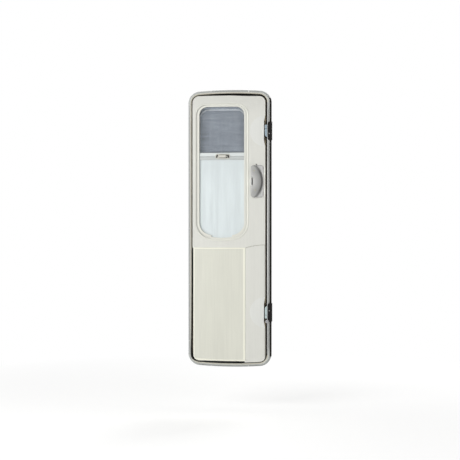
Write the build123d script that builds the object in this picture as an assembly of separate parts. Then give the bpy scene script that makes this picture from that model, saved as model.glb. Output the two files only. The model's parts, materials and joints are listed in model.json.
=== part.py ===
from build123d import *
import os
from math import sqrt

# Caravan entry door: a bent aluminium frame with a hinged leaf, drawn as it is seen from inside.
# X runs from the hinge side to the latch side, +Y points out of the caravan, and Z is up.
# The origin is on the frame's wall flange, halfway across it, at the middle of the bottom rail.
# All sizes are in millimetres.

# Frame
OPENING_W = 485.0  # between the frame's side walls
OPENING_H = 1718.0  # between the rails at mid-width, where they bow out most
OPENING_R = 52.0  # corner of the opening
FRAME_BOW_R = 2600.0  # bow of the top and bottom rails
LIP_W = 15.0  # width of the hollow section
LIP_ROUND = 6.5  # the lip is nearly half round
THROAT_D = 30.0  # depth of the hollow section, about the caravan's wall
PROFILE_WALL = 2.0
FLANGE_OUT = 9.0  # how far the wall flange stands out past the section
FLANGE_T = 2.5
RAIL_DROP = 110.0  # how far the bent rail pieces reach down their stiles
SCREW_R = 2.1
SCREW_END = 139.0  # last screw of a stile from the end of the opening
SCREW_STEPS = 2  # screws above and below a stile's middle one
RAIL_SCREW_INSET = 122.5  # a rail's screws from the side of the opening
BUTT_JOINT_INSET = 117.5  # where the bent section's ends meet, from the side of the opening
BUTT_JOINT_W = 1.6
BUTT_JOINT_D = 1.0

# Leaf
SIDE_GAP = 11.5
END_GAP = 14.0
LEAF_R = 38.0
LEAF_BOW_R = 9000.0
LINING_PROUD = 1.0  # the lining stands this far in front of the frame's lip
LINING_T = 4.0
LINING_ROUND = 1.2
CORE_T = 38.0
SKIN_T = 1.5
SKIN_OVERLAP = 20.0  # the skin's edge past the leaf, over the frame
BAND_T = 1.5
SEAL_IN = 1.0  # inner edge of the seal, from the leaf's edge
SEAL_W = 17.5
SEAL_T = 3.5
SEAL_ROUND = 1.2

# Window and blind
HINGE_MARGIN = 13.0  # lining between the window ring and the hinge side
LATCH_MARGIN = 107.0  # lining between the window ring and the latch side
WINDOW_DROP = 50.0  # top of the window ring below the top of the leaf
SIGHT_H = 822.0
SIGHT_TOP_R = 52.0
SIGHT_FOOT_R = 80.0
SIGHT_TOP_BOW_R = 6000.0
SIGHT_FOOT_BOW_R = 363.0
RING_SIDE = 27.5
RING_TOP = 21.0
RING_FOOT = 32.0
RING_CORNER_EXTRA = 20.0  # the ring's outer top corners are this much larger
RING_FOOT_CORNER_EXTRA = 30.0
RING_RIM = 5.0  # rim outside the ring's channel
RIM_ROUND = 2.0
RING_CHANNEL_D = 2.3
CHANNEL_SLOPE = 4.5  # width of the channel's steep side, beside the rim
CHANNEL_FLOOR = 0.8
RING_T = 3.0
BEAD_W = 10.0
BEAD_T = 1.0
BEAD_BEVEL = 0.6
FINGER_W = 140.0  # finger notch in the foot of the ring
FINGER_D = 11.0
FINGER_SLOPE = 8.0
FINGER_RISE = 20.0  # the notch's sides start this far above the sight's foot
GUIDE_W = 14.0  # guides for the blind, from the sight line to the liner
GUIDE_FRONT_T = 5.0
GUIDE_SLOT = 4.0
GUIDE_BACK_T = 10.0
LINER_T = 2.0
CLOTH_T = 0.6
CLOTH_IN_GUIDE = 12.0
BAR_TOP_DROP = 291.5  # top of the blind's bar below the top of the sight
BAR_H = 23.5  # each of the two bars
BAR_T = 11.0
BAR_PROUD = 4.0  # in front of the guide slot
BAR_END_GAP = 1.0
BAR_TAB_CLEARANCE = 0.3
CATCH_SHIFT = 6.0  # middle of the catch from the middle of the window
CATCH_W = 94.0
CATCH_H = 30.0
CATCH_R = 13.0
CATCH_T = 3.0
CATCH_ROUND = 0.8
THUMB_W = 44.0
THUMB_H = 22.0
THUMB_T = 5.0
THUMB_BEVEL = 2.5
HOOK_OUT = 43.0  # outer end of a hook from the middle of the catch
HOOK_W = 8.0
HOOK_H = 19.0
HOOK_LEAN = 5.0
HOOK_T = 2.5
TOOTH_IN = 24.0  # teeth beside the hook on the latch side, from the middle of the catch
TOOTH_W = 10.0
TOOTH_H = 9.0
TOOTH_GAP = 6.0
PANE_T = 3.0
PANE_IN_SEAL = 20.0  # edge of the pane, from the sight line
PANE_GAP = 1.5  # rubber between the skin and the pane
PANE_SEAL_IN = 8.0
PANE_SEAL_OUT = 28.0
PANE_SEAL_T = 6.0
PANE_TRIM_W = 10.0
PANE_TRIM_T = 5.0
PANE_TRIM_DROP = 20.0  # the trim's opening starts this far below the sight's top

# Lining panels
DIVIDE_DROP = 43.5  # line between the linings, below the window ring
DIVIDE_GAP = 1.5
SWEEP_RISE = 20.0  # rise of the line to the latch side
SWEEP_EARLY = 0.75  # share of the rise that is reached halfway
WING_GAP = 7.0  # between the upper lining's wing and the frame
WING_END = 60.0  # end of the wing from the middle of the leaf
TONGUE_INSET = 4.0  # the lower lining's longer part starts this far under the lower panel
TONGUE_GAP = 5.5  # between that part and the frame
COVER_MARGIN = 127.0  # lining between the raised lower panel and the latch side
COVER_T = 2.5
COVER_INSET = 1.5
COVER_LAP = 2.0  # over the foot of the upper lining
COVER_FOOT = 1.0
COVER_ROUND = 2.0
CREASE_DROP = 96.0  # where the crease in the lower panel meets the hinge side
CREASE_RUN = 205.0
CREASE_RISE = 77.0
CREASE_BOW = 13.0
CREASE_W = 2.0
CREASE_D = 0.7

# Latches
UPPER_LATCH_DROP = 227.0  # middle of the upper latch below the top of the leaf
LOWER_LATCH_RISE = 314.0  # middle of the lower latch above the foot of the leaf
LATCH_H = 120.0
LATCH_POCKET = 31.0  # depth of the pocket in the leaf's edge
LATCH_POCKET_D = 21.0
LINING_NOTCH = 8.0
NOTCH_RUN = 42.0  # length of the notch's sloping ends
CASE_W = 17.5
MOUTH_H = 64.0  # mouth of the latch in its case
MOUTH_W = 12.0
MOUTH_D = 9.0
STRIKER_H = 78.0
STRIKER_REACH = 14.5  # from the stile's inner wall towards the leaf
STRIKER_T = 4.0
STRIKER_LEG_T = 3.0
STRIKER_LEG_D = 20.0
STRIKER_SLOPE = 11.0
STRIKER_PROUD = 1.0
STRIKER_ROUND = 0.8
SEAT_T = 3.0
SEAT_SHIFT = 12.0  # the seat shows this far past the striker's sloping corner
BOSS_MARGIN = 9.0  # between a latch boss and the window ring
BOSS_H = 6.0
BOSS_STEP = 0.8
KEEPER_H = 116.0
KEEPER_IN = 3.7  # the lip left standing beside the keeper
KEEPER_OUT = 16.0  # past the hollow section
KEEPER_PROUD = 3.0
KEEPER_BACK = 6.0  # from the flange
KEEPER_SLOPE = 8.0
KEEPER_ROUND = 2.0

# Handles
HANDLE_INSET = 51.5  # middle of the handle from the latch side
HANDLE_DROP = 546.0  # middle of the handle below the top of the leaf
PLATE_W = 80.0
PLATE_H = 204.0
PLATE_R = 17.0
PLATE_T = 5.0
PLATE_ROUND = 1.5
LEVER_INSET = 1.5
LEVER_REACH = 75.0  # from the lever's straight edge to the crown of its arc
LEVER_ARC_R = 135.0
LEVER_GAP = 7.0
LEVER_T = 18.0
LEVER_RIM_T = 1.5  # thickness that is left at the edge of the arc
LEVER_BEVEL = 1.15  # width of the arc's bevel for each millimetre of its height
LEVER_DOME_R = 200.0
LEVER_LONG_DOME_R = 600.0
LEVER_DOME_X = 12.0  # line where the lever is thickest, from its straight edge
PIVOT_X = 4.0  # pivot from the lever's straight edge
PIVOT_Y = 3.0  # pivot from the lever's back
PIN_R = 2.5
PIN_CLEARANCE = 0.08
PIN_REACH = 20.0
LUG_R = 5.0
LUG_H = 42.0
LUG_SIDE_GAP = 5.5
LUG_END_GAP = 5.0
BUTTON_R = 4.0
BUTTON_T = 4.0
BUTTON_ROUND = 1.0
BUTTON_GAP = 1.0
BUTTON_SHIFT = 5.0  # from the middle of the plate, away from the latch side
OUTER_PLATE_W = 76.0
OUTER_PLATE_H = 190.0
OUTER_PLATE_T = 8.0
OUTER_CUP_W = 54.0
OUTER_CUP_H = 92.0
OUTER_CUP_RISE = 32.0
OUTER_CUP_FLOOR = 2.0
OUTER_GRIP_W = 16.0
OUTER_GRIP_T = 5.0
OUTER_GRIP_ROUND = 2.0
LOCK_DROP = 58.0
LOCK_R = 11.0
LOCK_T = 5.0
LOCK_ROUND = 1.25
KEY_SLOT_W = 2.4
KEY_SLOT_H = 10.0
KEY_SLOT_D = 3.0

# Hinges
HINGE_INSET = 250.0  # middle of each hinge from the end of the leaf
HINGE_H = 80.0
HINGE_OUT = 10.5  # pivot from the skin's edge
HINGE_RISE = 4.5  # pivot from the skin's outer face
KNUCKLE_R = 6.0
KNUCKLE_GAP = 0.5
LEAF_KNUCKLE_H = 27.0
HINGE_PIN_R = 3.0
HINGE_PIN_CLEARANCE = 0.05
HINGE_PIN_HEAD_R = 4.5
HINGE_PIN_HEAD_T = 2.0
HINGE_PLATE_T = 3.0
STRAP_MARGIN = 5.0  # between a strap and the pane's seal
STRAP_H = 70.0
STRAP_START = 3.0  # from the skin's edge
STRAP_R = 8.0
FRAME_PLATE_W = 11.0
WEB_W = 6.0

# Depths, from the flange's mating face at y = 0
LIP_Y = -THROAT_D
FACE_Y = LIP_Y - LINING_PROUD
CORE_Y = FACE_Y + LINING_T
SKIN_Y = CORE_Y + CORE_T
OUTSIDE_Y = SKIN_Y + SKIN_T
SLOT_Y = FACE_Y + GUIDE_FRONT_T  # front of the blind's guide slot
SLOT_BACK_Y = SLOT_Y + GUIDE_SLOT
CLOTH_Y = SLOT_Y + GUIDE_SLOT / 2
PLATE_Y = FACE_Y - PLATE_T
LEVER_BACK_Y = PLATE_Y - LEVER_GAP
PIVOT_AT_Y = LEVER_BACK_Y - PIVOT_Y
HINGE_Y = OUTSIDE_Y + HINGE_RISE

# Heights and widths
MID_Z = FLANGE_OUT / 2 + LIP_W + OPENING_H / 2
LEAF_W = OPENING_W - 2 * SIDE_GAP
LEAF_H = OPENING_H - 2 * END_GAP
LEAF_TOP = MID_Z + LEAF_H / 2
LEAF_FOOT = MID_Z - LEAF_H / 2
LEAF_EDGE = LEAF_W / 2
SKIN_EDGE = LEAF_EDGE + SKIN_OVERLAP
SIGHT_TOP = LEAF_TOP - WINDOW_DROP - RING_TOP
SIGHT_FOOT = SIGHT_TOP - SIGHT_H
SIGHT_W = LEAF_W - HINGE_MARGIN - LATCH_MARGIN - 2 * RING_SIDE
SIGHT_HALF = SIGHT_W / 2
WINDOW_X = -LEAF_EDGE + HINGE_MARGIN + RING_SIDE + SIGHT_HALF
COVER_RIGHT = LEAF_EDGE - COVER_MARGIN
BOSS_R = LATCH_MARGIN - BOSS_MARGIN
DIVIDE_Z = SIGHT_FOOT - RING_FOOT - DIVIDE_DROP
BAR_TOP = SIGHT_TOP - BAR_TOP_DROP
BAR_MIDDLE = BAR_TOP - BAR_H
BAR_FOOT = BAR_MIDDLE - BAR_H
CATCH_X = WINDOW_X + CATCH_SHIFT
LATCHES = {"upper": LEAF_TOP - UPPER_LATCH_DROP, "lower": LEAF_FOOT + LOWER_LATCH_RISE}
HINGES = {"upper": LEAF_TOP - HINGE_INSET, "lower": LEAF_FOOT + HINGE_INSET}
HINGE_X = -SKIN_EDGE - HINGE_OUT
STRAP_LEFT = -SKIN_EDGE + STRAP_START
STRAP_RIGHT = WINDOW_X - SIGHT_HALF - PANE_SEAL_OUT - STRAP_MARGIN
HANDLE_X = LEAF_EDGE - HANDLE_INSET
HANDLE_Z = LEAF_TOP - HANDLE_DROP
LEVER_LEFT = HANDLE_X - PLATE_W / 2 + LEVER_INSET
PIVOT_AT_X = LEVER_LEFT + PIVOT_X
RAIL_Z = OPENING_H / 2 - RAIL_DROP
FLANGE_MIDDLE = LIP_W + FLANGE_OUT / 2
SCREW_PITCH = (OPENING_H / 2 - SCREW_END) / SCREW_STEPS
FAR = 2 * OPENING_H  # longer than anything here, for cutting
NEAR = 0.001  # closer than any two faces here, for finding edges


def block(x, y, z):
    """A box between a low and a high value on each axis."""
    spans = [high - low for low, high in (x, y, z)]
    middle = [(high + low) / 2 for low, high in (x, y, z)]
    return Pos(*middle) * Box(*spans)


def bowed_end(half_w, reach, corner_r, bow_r):
    """One end of an outline: where its bow ends, the middle of its corner, and where its side starts."""
    bow_centre = Vector(0, reach - bow_r)
    corner_x = half_w - corner_r
    corner_z = bow_centre.Y + sqrt((bow_r - corner_r) ** 2 - corner_x**2)
    corner = Vector(corner_x, corner_z)
    away = (corner - bow_centre).normalized()
    halfway = (away + Vector(1, 0)).normalized()
    return corner + away * corner_r, corner + halfway * corner_r, corner + Vector(corner_r, 0)


def outline(half_w, top, foot, top_r, foot_r, top_bow, foot_bow):
    """A face in X and Z with straight sides, rounded corners and gently bowed ends."""
    middle = (top + foot) / 2
    reach = (top - foot) / 2
    top_end = bowed_end(half_w, reach, top_r, top_bow)
    foot_end = bowed_end(half_w, reach, foot_r, foot_bow)
    ends = {1: top_end, -1: foot_end}

    def point(end, index, side):
        return (side * ends[end][index].X, end * ends[end][index].Y)

    edges = []
    for end in (1, -1):
        edges.append(ThreePointArc(point(end, 0, -1), (0, end * reach), point(end, 0, 1)))
        for side in (1, -1):
            edges.append(ThreePointArc(*(point(end, index, side) for index in range(3))))
    for side in (1, -1):
        edges.append(Line(point(1, 2, side), point(-1, 2, side)))
    return Pos(0, middle) * make_face(edges)


def slab(face, low_y, high_y):
    """The solid of a face in X and Z between two depths."""
    return extrude(Plane.XZ.offset(-high_y) * face, amount=high_y - low_y)


def frame_outline(out):
    """The frame's opening, grown by a distance."""
    half_h = OPENING_H / 2 + out
    radius, bow = OPENING_R + out, FRAME_BOW_R + out
    return outline(OPENING_W / 2 + out, MID_Z + half_h, MID_Z - half_h, radius, radius, bow, bow)


def leaf_outline(out):
    """The leaf's edge, grown by a distance."""
    radius, bow = LEAF_R + out, LEAF_BOW_R + out
    return outline(LEAF_EDGE + out, LEAF_TOP + out, LEAF_FOOT - out, radius, radius, bow, bow)


def sight_outline(out):
    """The window's sight line, grown by a distance."""
    face = outline(
        SIGHT_HALF + out,
        SIGHT_TOP + out,
        SIGHT_FOOT - out,
        SIGHT_TOP_R + out,
        SIGHT_FOOT_R + out,
        SIGHT_TOP_BOW_R + out,
        SIGHT_FOOT_BOW_R + out,
    )
    return Pos(WINDOW_X, 0) * face


def edges_at(part, y):
    """The edges that lie wholly at one depth."""
    return part.edges().filter_by_position(Axis.Y, y - NEAR, y + NEAR)


def upright(radius, x, y, z):
    """A cylinder along Z between two heights."""
    low, high = z
    return Pos(x, y, (low + high) / 2) * Cylinder(radius, high - low)


def crossways(radius, x, z, y):
    """A cylinder along Y between two depths."""
    low, high = y
    return Pos(x, (low + high) / 2, z) * Rot(90, 0, 0) * Cylinder(radius, high - low)


def polygon(points):
    """A face in X and Z with straight edges."""
    return make_face(Polyline(*points, close=True))


def latch_pocket(z):
    """The room cut out of the leaf's edge for one latch."""
    half = LATCH_H / 2
    return block((LEAF_EDGE - LATCH_POCKET, FAR), (CORE_Y, CORE_Y + LATCH_POCKET_D), (z - half, z + half))


def lining_notch(z):
    """The opening with sloping ends that the lining leaves over one latch."""
    half = LATCH_H / 2
    inner = LEAF_EDGE - LINING_NOTCH
    outer = LEAF_EDGE + LINING_NOTCH
    points = [
        (inner, z - half),
        (outer, z - half - 2 * NOTCH_RUN),
        (outer, z + half + 2 * NOTCH_RUN),
        (inner, z + half),
    ]
    return slab(polygon(points), FACE_Y - BOSS_H, CORE_Y)


def frame_section():
    """The whole bent section: a hollow box with a rounded lip and the wall flange."""
    box = slab(frame_outline(LIP_W) - frame_outline(0), LIP_Y, 0)
    box = fillet(edges_at(box, LIP_Y), LIP_ROUND)
    hollow = frame_outline(LIP_W - PROFILE_WALL) - frame_outline(PROFILE_WALL)
    box -= slab(hollow, LIP_Y + LIP_ROUND, 0)
    flange = slab(frame_outline(LIP_W + FLANGE_OUT) - frame_outline(0), 0, FLANGE_T)
    middle = OPENING_W / 2 - BUTT_JOINT_INSET
    joint_x = (middle - BUTT_JOINT_W / 2, middle + BUTT_JOINT_W / 2)
    joint = block(joint_x, (LIP_Y, LIP_Y + BUTT_JOINT_D), (MID_Z, FAR))
    return box + flange - joint - screw_holes()


def screw_holes():
    """Clearance holes through the wall flange."""
    stile_x = OPENING_W / 2 + FLANGE_MIDDLE
    steps = range(-SCREW_STEPS, SCREW_STEPS + 1)
    places = [(side * stile_x, step * SCREW_PITCH) for side in (-1, 1) for step in steps]
    rail_x = OPENING_W / 2 - RAIL_SCREW_INSET
    bow = FRAME_BOW_R + FLANGE_MIDDLE
    rail_z = OPENING_H / 2 + FLANGE_MIDDLE - bow + sqrt(bow**2 - rail_x**2)
    places += [(side * rail_x, end * rail_z) for side in (-1, 1) for end in (-1, 1)]
    holes = [crossways(SCREW_R, x, MID_Z + z, (0, FLANGE_T)) for x, z in places]
    return Part() + holes


def frame_pieces():
    """The section as two bent rails and two straight stiles, with the keepers' cut-outs."""
    section = frame_section()
    for z in LATCHES.values():
        section -= keeper_room(z)
    wide = (-FAR, FAR)
    high = MID_Z + RAIL_Z
    low = MID_Z - RAIL_Z
    return {
        "frame_top_rail": section & block(wide, wide, (high, FAR)),
        "frame_bottom_rail": section & block(wide, wide, (-FAR, low)),
        "frame_hinge_stile": section & block((-FAR, 0), wide, (low, high)),
        "frame_latch_stile": section & block((0, FAR), wide, (low, high)),
    }


def keeper_room(z):
    """The cut-out in the latch stile that a keeper fills."""
    half = KEEPER_H / 2
    return block((OPENING_W / 2 + KEEPER_IN, FAR), (-FAR, -KEEPER_BACK), (z - half, z + half))


def keeper(z):
    """A moulded keeper let into the latch stile, with sloping corners beside the leaf."""
    half = KEEPER_H / 2
    left = OPENING_W / 2 + KEEPER_IN
    right = OPENING_W / 2 + LIP_W + KEEPER_OUT
    front = LIP_Y - KEEPER_PROUD
    points = [
        (left, z - half + KEEPER_SLOPE),
        (left + KEEPER_SLOPE, z - half),
        (right, z - half),
        (right, z + half),
        (left + KEEPER_SLOPE, z + half),
        (left, z + half - KEEPER_SLOPE),
    ]
    body = slab(polygon(points), front, -KEEPER_BACK)
    return fillet(edges_at(body, front), KEEPER_ROUND)


def leaf_core_pieces():
    """The leaf's stiles, top rail and lower core, with the window and the latch pockets cut out."""
    core = slab(leaf_outline(-BAND_T) - sight_outline(GUIDE_W + LINER_T), CORE_Y, SKIN_Y)
    for z in LATCHES.values():
        core -= latch_pocket(z)
    wide = (-FAR, FAR)
    high = SIGHT_TOP - SIGHT_TOP_R
    low = SIGHT_FOOT + SIGHT_FOOT_R + GUIDE_W
    return {
        "leaf_top_rail": core & block(wide, wide, (high, FAR)),
        "leaf_hinge_stile": core & block((-FAR, WINDOW_X), wide, (low, high)),
        "leaf_latch_stile": core & block((WINDOW_X, FAR), wide, (low, high)),
        "leaf_lower_core": core & block(wide, wide, (-FAR, low)),
    }


def edge_band():
    """The band round the leaf's edge, open at the latches."""
    band = slab(leaf_outline(0) - leaf_outline(-BAND_T), CORE_Y, SKIN_Y)
    for z in LATCHES.values():
        band -= latch_pocket(z)
    return band


def outer_skin():
    """The outside sheet, which overlaps the frame all round."""
    skin = slab(leaf_outline(SKIN_OVERLAP) - sight_outline(GUIDE_W), SKIN_Y, OUTSIDE_Y)
    return fillet(edges_at(skin, OUTSIDE_Y).sort_by(Edge.length)[-4:], SKIN_T / 2)


def leaf_seal():
    """The seal under the skin's overlapping edge."""
    ring = leaf_outline(SEAL_IN + SEAL_W) - leaf_outline(SEAL_IN)
    seal = slab(ring, SKIN_Y - SEAL_T, SKIN_Y)
    return fillet(edges_at(seal, SKIN_Y - SEAL_T), SEAL_ROUND)


def divide_line(shift):
    """The line between the two linings: level to the lower panel's edge, then rising to the latch side."""
    start = (COVER_RIGHT, DIVIDE_Z + shift)
    middle = ((COVER_RIGHT + LEAF_EDGE) / 2, DIVIDE_Z + SWEEP_RISE * SWEEP_EARLY + shift)
    end = (LEAF_EDGE, DIVIDE_Z + SWEEP_RISE + shift)
    return [
        Line((-LEAF_EDGE, DIVIDE_Z + shift), start),
        ThreePointArc(start, middle, end),
        end,
    ]


def below_divide(shift):
    """Everything on the leaf below the line between the linings."""
    level, sweep, end = divide_line(shift)
    foot = LEAF_FOOT - END_GAP
    rest = Polyline(end, (LEAF_EDGE, foot), (-LEAF_EDGE, foot), (-LEAF_EDGE, DIVIDE_Z + shift))
    return make_face([level, sweep, *rest.edges()])


def lining(face):
    """A lining panel with a rounded front edge and the latch openings."""
    panel = slab(face, FACE_Y, CORE_Y)
    for z in LATCHES.values():
        panel -= lining_notch(z)
    return fillet(edges_at(panel, FACE_Y), LINING_ROUND)


def upper_lining():
    """The lining round the window, with a wing along the hinge side that comes closer to the frame."""
    left = -LEAF_EDGE - SIDE_GAP
    width = -WING_END - left
    height = LEAF_TOP - DIVIDE_Z
    wing = Pos(left + width / 2, DIVIDE_Z + height / 2) * Rectangle(width, height)
    face = leaf_outline(0) - below_divide(DIVIDE_GAP / 2)
    face += wing & frame_outline(-WING_GAP)
    return lining(face - sight_outline(GUIDE_W))


def lower_lining():
    """The lining below the dividing line, longer beside the lower panel, where it nearly meets the frame."""
    left = COVER_RIGHT - TONGUE_INSET
    width = LEAF_EDGE - left
    height = END_GAP + LEAF_R
    tongue = Pos(left + width / 2, LEAF_FOOT - END_GAP + height / 2) * Rectangle(width, height)
    tongue &= frame_outline(-TONGUE_GAP)
    return lining((leaf_outline(0) + tongue) & below_divide(-DIVIDE_GAP / 2))


def lower_cover():
    """The raised lower panel, with a shallow curved crease near its top."""
    top = DIVIDE_Z + COVER_LAP
    foot = LEAF_FOOT + COVER_FOOT
    middle = Pos((COVER_RIGHT - LEAF_EDGE) / 2, (top + foot) / 2)
    window = middle * Rectangle(COVER_RIGHT + LEAF_EDGE, top - foot)
    face = leaf_outline(-COVER_INSET) & window
    panel = slab(face, FACE_Y - COVER_T, FACE_Y)
    panel = fillet(edges_at(panel, FACE_Y - COVER_T), COVER_ROUND)
    start = Vector(-LEAF_EDGE, top - CREASE_DROP)
    end = Vector(-LEAF_EDGE + CREASE_RUN, start.Y + CREASE_RISE)
    bend = Vector((start.X + end.X) / 2, (start.Y + end.Y) / 2 + CREASE_BOW)
    crease = trace(ThreePointArc(start, bend, end), CREASE_W)
    return panel - slab(crease, FACE_Y - COVER_T, FACE_Y - COVER_T + CREASE_D)


def latch_boss(z):
    """The low dome that covers one latch's works, cut off at the leaf's edge."""
    sagitta = BOSS_H - BOSS_STEP
    dome_r = (BOSS_R**2 + sagitta**2) / (2 * sagitta)
    crown = FACE_Y - BOSS_H
    disc = crossways(BOSS_R, LEAF_EDGE, z, (crown, FACE_Y))
    dome = Pos(LEAF_EDGE, crown + dome_r, z) * Sphere(dome_r)
    return (disc & dome & slab(leaf_outline(-LINING_ROUND), crown, FACE_Y)) - lining_notch(z)


def latch_case(z):
    """The case of one latch in the leaf's edge, with the mouth that the latch works in."""
    half = LATCH_H / 2
    left = LEAF_EDGE - LATCH_POCKET
    right = left + CASE_W
    deep = (CORE_Y, CORE_Y + LATCH_POCKET_D)
    middle = sum(deep) / 2
    mouth_y = (middle - MOUTH_W / 2, middle + MOUTH_W / 2)
    mouth_z = (z - MOUTH_H / 2, z + MOUTH_H / 2)
    case = block((left, right), deep, (z - half, z + half))
    return case - block((right - MOUTH_D, right), mouth_y, mouth_z)


def striker_face(z, toward, right):
    """The outline of a striker's tongue, with one sloping corner that faces the handle."""
    left = OPENING_W / 2 - STRIKER_REACH
    end = z + toward * STRIKER_H / 2
    far = z - toward * STRIKER_H / 2
    points = [
        (left, far),
        (right, far),
        (right, end),
        (left + STRIKER_SLOPE, end),
        (left, end - toward * STRIKER_SLOPE),
    ]
    return polygon(points)


def striker_seat(z, toward):
    """The plastic seat behind a striker's tongue, which shows past its sloping corner."""
    face = striker_face(z + toward * SEAT_SHIFT, toward, OPENING_W / 2 - STRIKER_LEG_T)
    front = LIP_Y - STRIKER_PROUD + STRIKER_T
    return slab(face, front, front + SEAT_T)


def striker(z, toward):
    """A bent striker on the stile's inner wall."""
    half = STRIKER_H / 2
    right = OPENING_W / 2
    front = LIP_Y - STRIKER_PROUD
    tongue = slab(striker_face(z, toward, right), front, front + STRIKER_T)
    tongue = fillet(edges_at(tongue, front), STRIKER_ROUND)
    leg_y = (front + STRIKER_T, front + STRIKER_LEG_D)
    return tongue + block((right - STRIKER_LEG_T, right), leg_y, (z - half, z + half))


def finger_notch():
    """The face of the notch with sloping sides in the foot of the window ring."""
    half = FINGER_W / 2
    high = SIGHT_FOOT + FINGER_RISE
    low = SIGHT_FOOT - 2 * FINGER_D
    points = [
        (WINDOW_X - half, high),
        (WINDOW_X - half + FINGER_SLOPE, low),
        (WINDOW_X + half - FINGER_SLOPE, low),
        (WINDOW_X + half, high),
    ]
    return polygon(points) & sight_outline(FINGER_D)


def ring_outline(out):
    """The window ring's outer edge, grown by a distance."""
    face = outline(
        SIGHT_HALF + RING_SIDE + out,
        SIGHT_TOP + RING_TOP + out,
        SIGHT_FOOT - RING_FOOT - out,
        SIGHT_TOP_R + RING_CORNER_EXTRA + out,
        SIGHT_FOOT_R + RING_FOOT_CORNER_EXTRA + out,
        SIGHT_TOP_BOW_R + RING_TOP + out,
        SIGHT_FOOT_BOW_R + RING_FOOT + out,
    )
    return Pos(WINDOW_X, 0) * face


def tapered(front, front_y, back, back_y):
    """The solid between a face at one depth and a like face at another."""
    return loft([Plane.XZ.offset(-front_y) * front, Plane.XZ.offset(-back_y) * back], ruled=True)


def ring_channel(front_y):
    """The V-shaped channel in the ring: steep beside the rim, and a gentle ramp up to the bead."""
    floor_y = front_y + RING_CHANNEL_D
    slope_foot = -RING_RIM - CHANNEL_SLOPE
    room = tapered(ring_outline(-RING_RIM), front_y, ring_outline(slope_foot), floor_y)
    return room - tapered(sight_outline(BEAD_W), front_y, ring_outline(slope_foot - CHANNEL_FLOOR), floor_y)


def window_ring():
    """The ring round the window on the room side: a bead, a channel, a rim and the blind's front guide."""
    sight = sight_outline(0)
    base_y = FACE_Y - RING_T
    bead_y = base_y - BEAD_T
    bead = slab(sight_outline(BEAD_W) - sight, bead_y, base_y)
    bead = chamfer(edges_at(bead, bead_y), BEAD_BEVEL)
    base = slab(ring_outline(0), base_y, FACE_Y)
    base = fillet(edges_at(base, base_y), RIM_ROUND)
    base -= ring_channel(base_y) + slab(sight, base_y, FACE_Y)
    guide = slab(sight_outline(GUIDE_W) - sight, FACE_Y, SLOT_Y)
    return base + bead + guide - slab(finger_notch(), bead_y, SLOT_Y)


def blind_guide():
    """The back half of the blind's guide, against the liner."""
    return slab(sight_outline(GUIDE_W) - sight_outline(0), SLOT_BACK_Y, SLOT_BACK_Y + GUIDE_BACK_T)


def window_liner():
    """The liner of the hole through the leaf."""
    return slab(sight_outline(GUIDE_W + LINER_T) - sight_outline(GUIDE_W), CORE_Y, SKIN_Y)


def cloth(low_z, high_z):
    """A thin sheet held in the guides between two heights."""
    sheet = slab(sight_outline(CLOTH_IN_GUIDE), CLOTH_Y - CLOTH_T / 2, CLOTH_Y + CLOTH_T / 2)
    return sheet & block((-FAR, FAR), (-FAR, FAR), (low_z, high_z))


def blind_bar(low_z):
    """One of the two bars that meet across the window, with tabs in the guides."""
    span = (low_z, low_z + BAR_H)
    reach = SIGHT_HALF - BAR_END_GAP
    front = SLOT_Y - BAR_PROUD
    body = block((WINDOW_X - reach, WINDOW_X + reach), (front, front + BAR_T), span)
    body = fillet(edges_at(body, front).filter_by(Axis.X), BAR_PROUD)
    tab_reach = SIGHT_HALF + CLOTH_IN_GUIDE
    tab_y = (SLOT_Y + BAR_TAB_CLEARANCE, SLOT_BACK_Y - BAR_TAB_CLEARANCE)
    return body + block((WINDOW_X - tab_reach, WINDOW_X + tab_reach), tab_y, span)


def catch_plate():
    """The rounded plate of the catch that joins the two bars."""
    front = SLOT_Y - BAR_PROUD
    face = Pos(CATCH_X, BAR_MIDDLE) * RectangleRounded(CATCH_W, CATCH_H, CATCH_R)
    plate = slab(face, front - CATCH_T, front)
    return fillet(edges_at(plate, front - CATCH_T), CATCH_ROUND)


def catch_thumb():
    """The thumb piece on the catch, with bevelled sides."""
    base = SLOT_Y - BAR_PROUD - CATCH_T
    piece = block(
        (CATCH_X - THUMB_W / 2, CATCH_X + THUMB_W / 2),
        (base - THUMB_T, base),
        (BAR_MIDDLE - THUMB_H / 2, BAR_MIDDLE + THUMB_H / 2),
    )
    return chamfer(edges_at(piece, base - THUMB_T), THUMB_BEVEL)


def on_catch(points):
    """A dark piece on the catch's plate, from points about the middle of the catch."""
    base = SLOT_Y - BAR_PROUD - CATCH_T
    return slab(Pos(CATCH_X, BAR_MIDDLE) * polygon(points), base - HOOK_T, base)


def catch_hook(side):
    """The leaning hook at one end of the catch."""
    half = HOOK_H / 2
    inner = HOOK_OUT - HOOK_W
    points = [(HOOK_OUT, -half), (HOOK_OUT - HOOK_LEAN, half), (inner - HOOK_LEAN, half), (inner, -half)]
    return on_catch([(side * x, z) for x, z in points])


def catch_right_hook():
    """The hook on the latch side, with the two teeth beside it."""
    hook = catch_hook(1)
    low, high = TOOTH_GAP / 2, TOOTH_GAP / 2 + TOOTH_H
    for end in (1, -1):
        points = [(TOOTH_IN, end * high), (TOOTH_IN + TOOTH_W, end * low), (TOOTH_IN, end * low)]
        hook += on_catch(points)
    return hook


def window_pane():
    """The outside pane."""
    start = OUTSIDE_Y + PANE_GAP
    return slab(sight_outline(PANE_IN_SEAL), start, start + PANE_T)


def pane_seal():
    """The rubber section that holds the pane on the skin."""
    ring = sight_outline(PANE_SEAL_OUT) - sight_outline(PANE_SEAL_IN)
    seal = slab(ring, OUTSIDE_Y, OUTSIDE_Y + PANE_SEAL_T)
    seal = fillet(edges_at(seal, OUTSIDE_Y + PANE_SEAL_T), PANE_GAP)
    return seal - window_pane()


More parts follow.
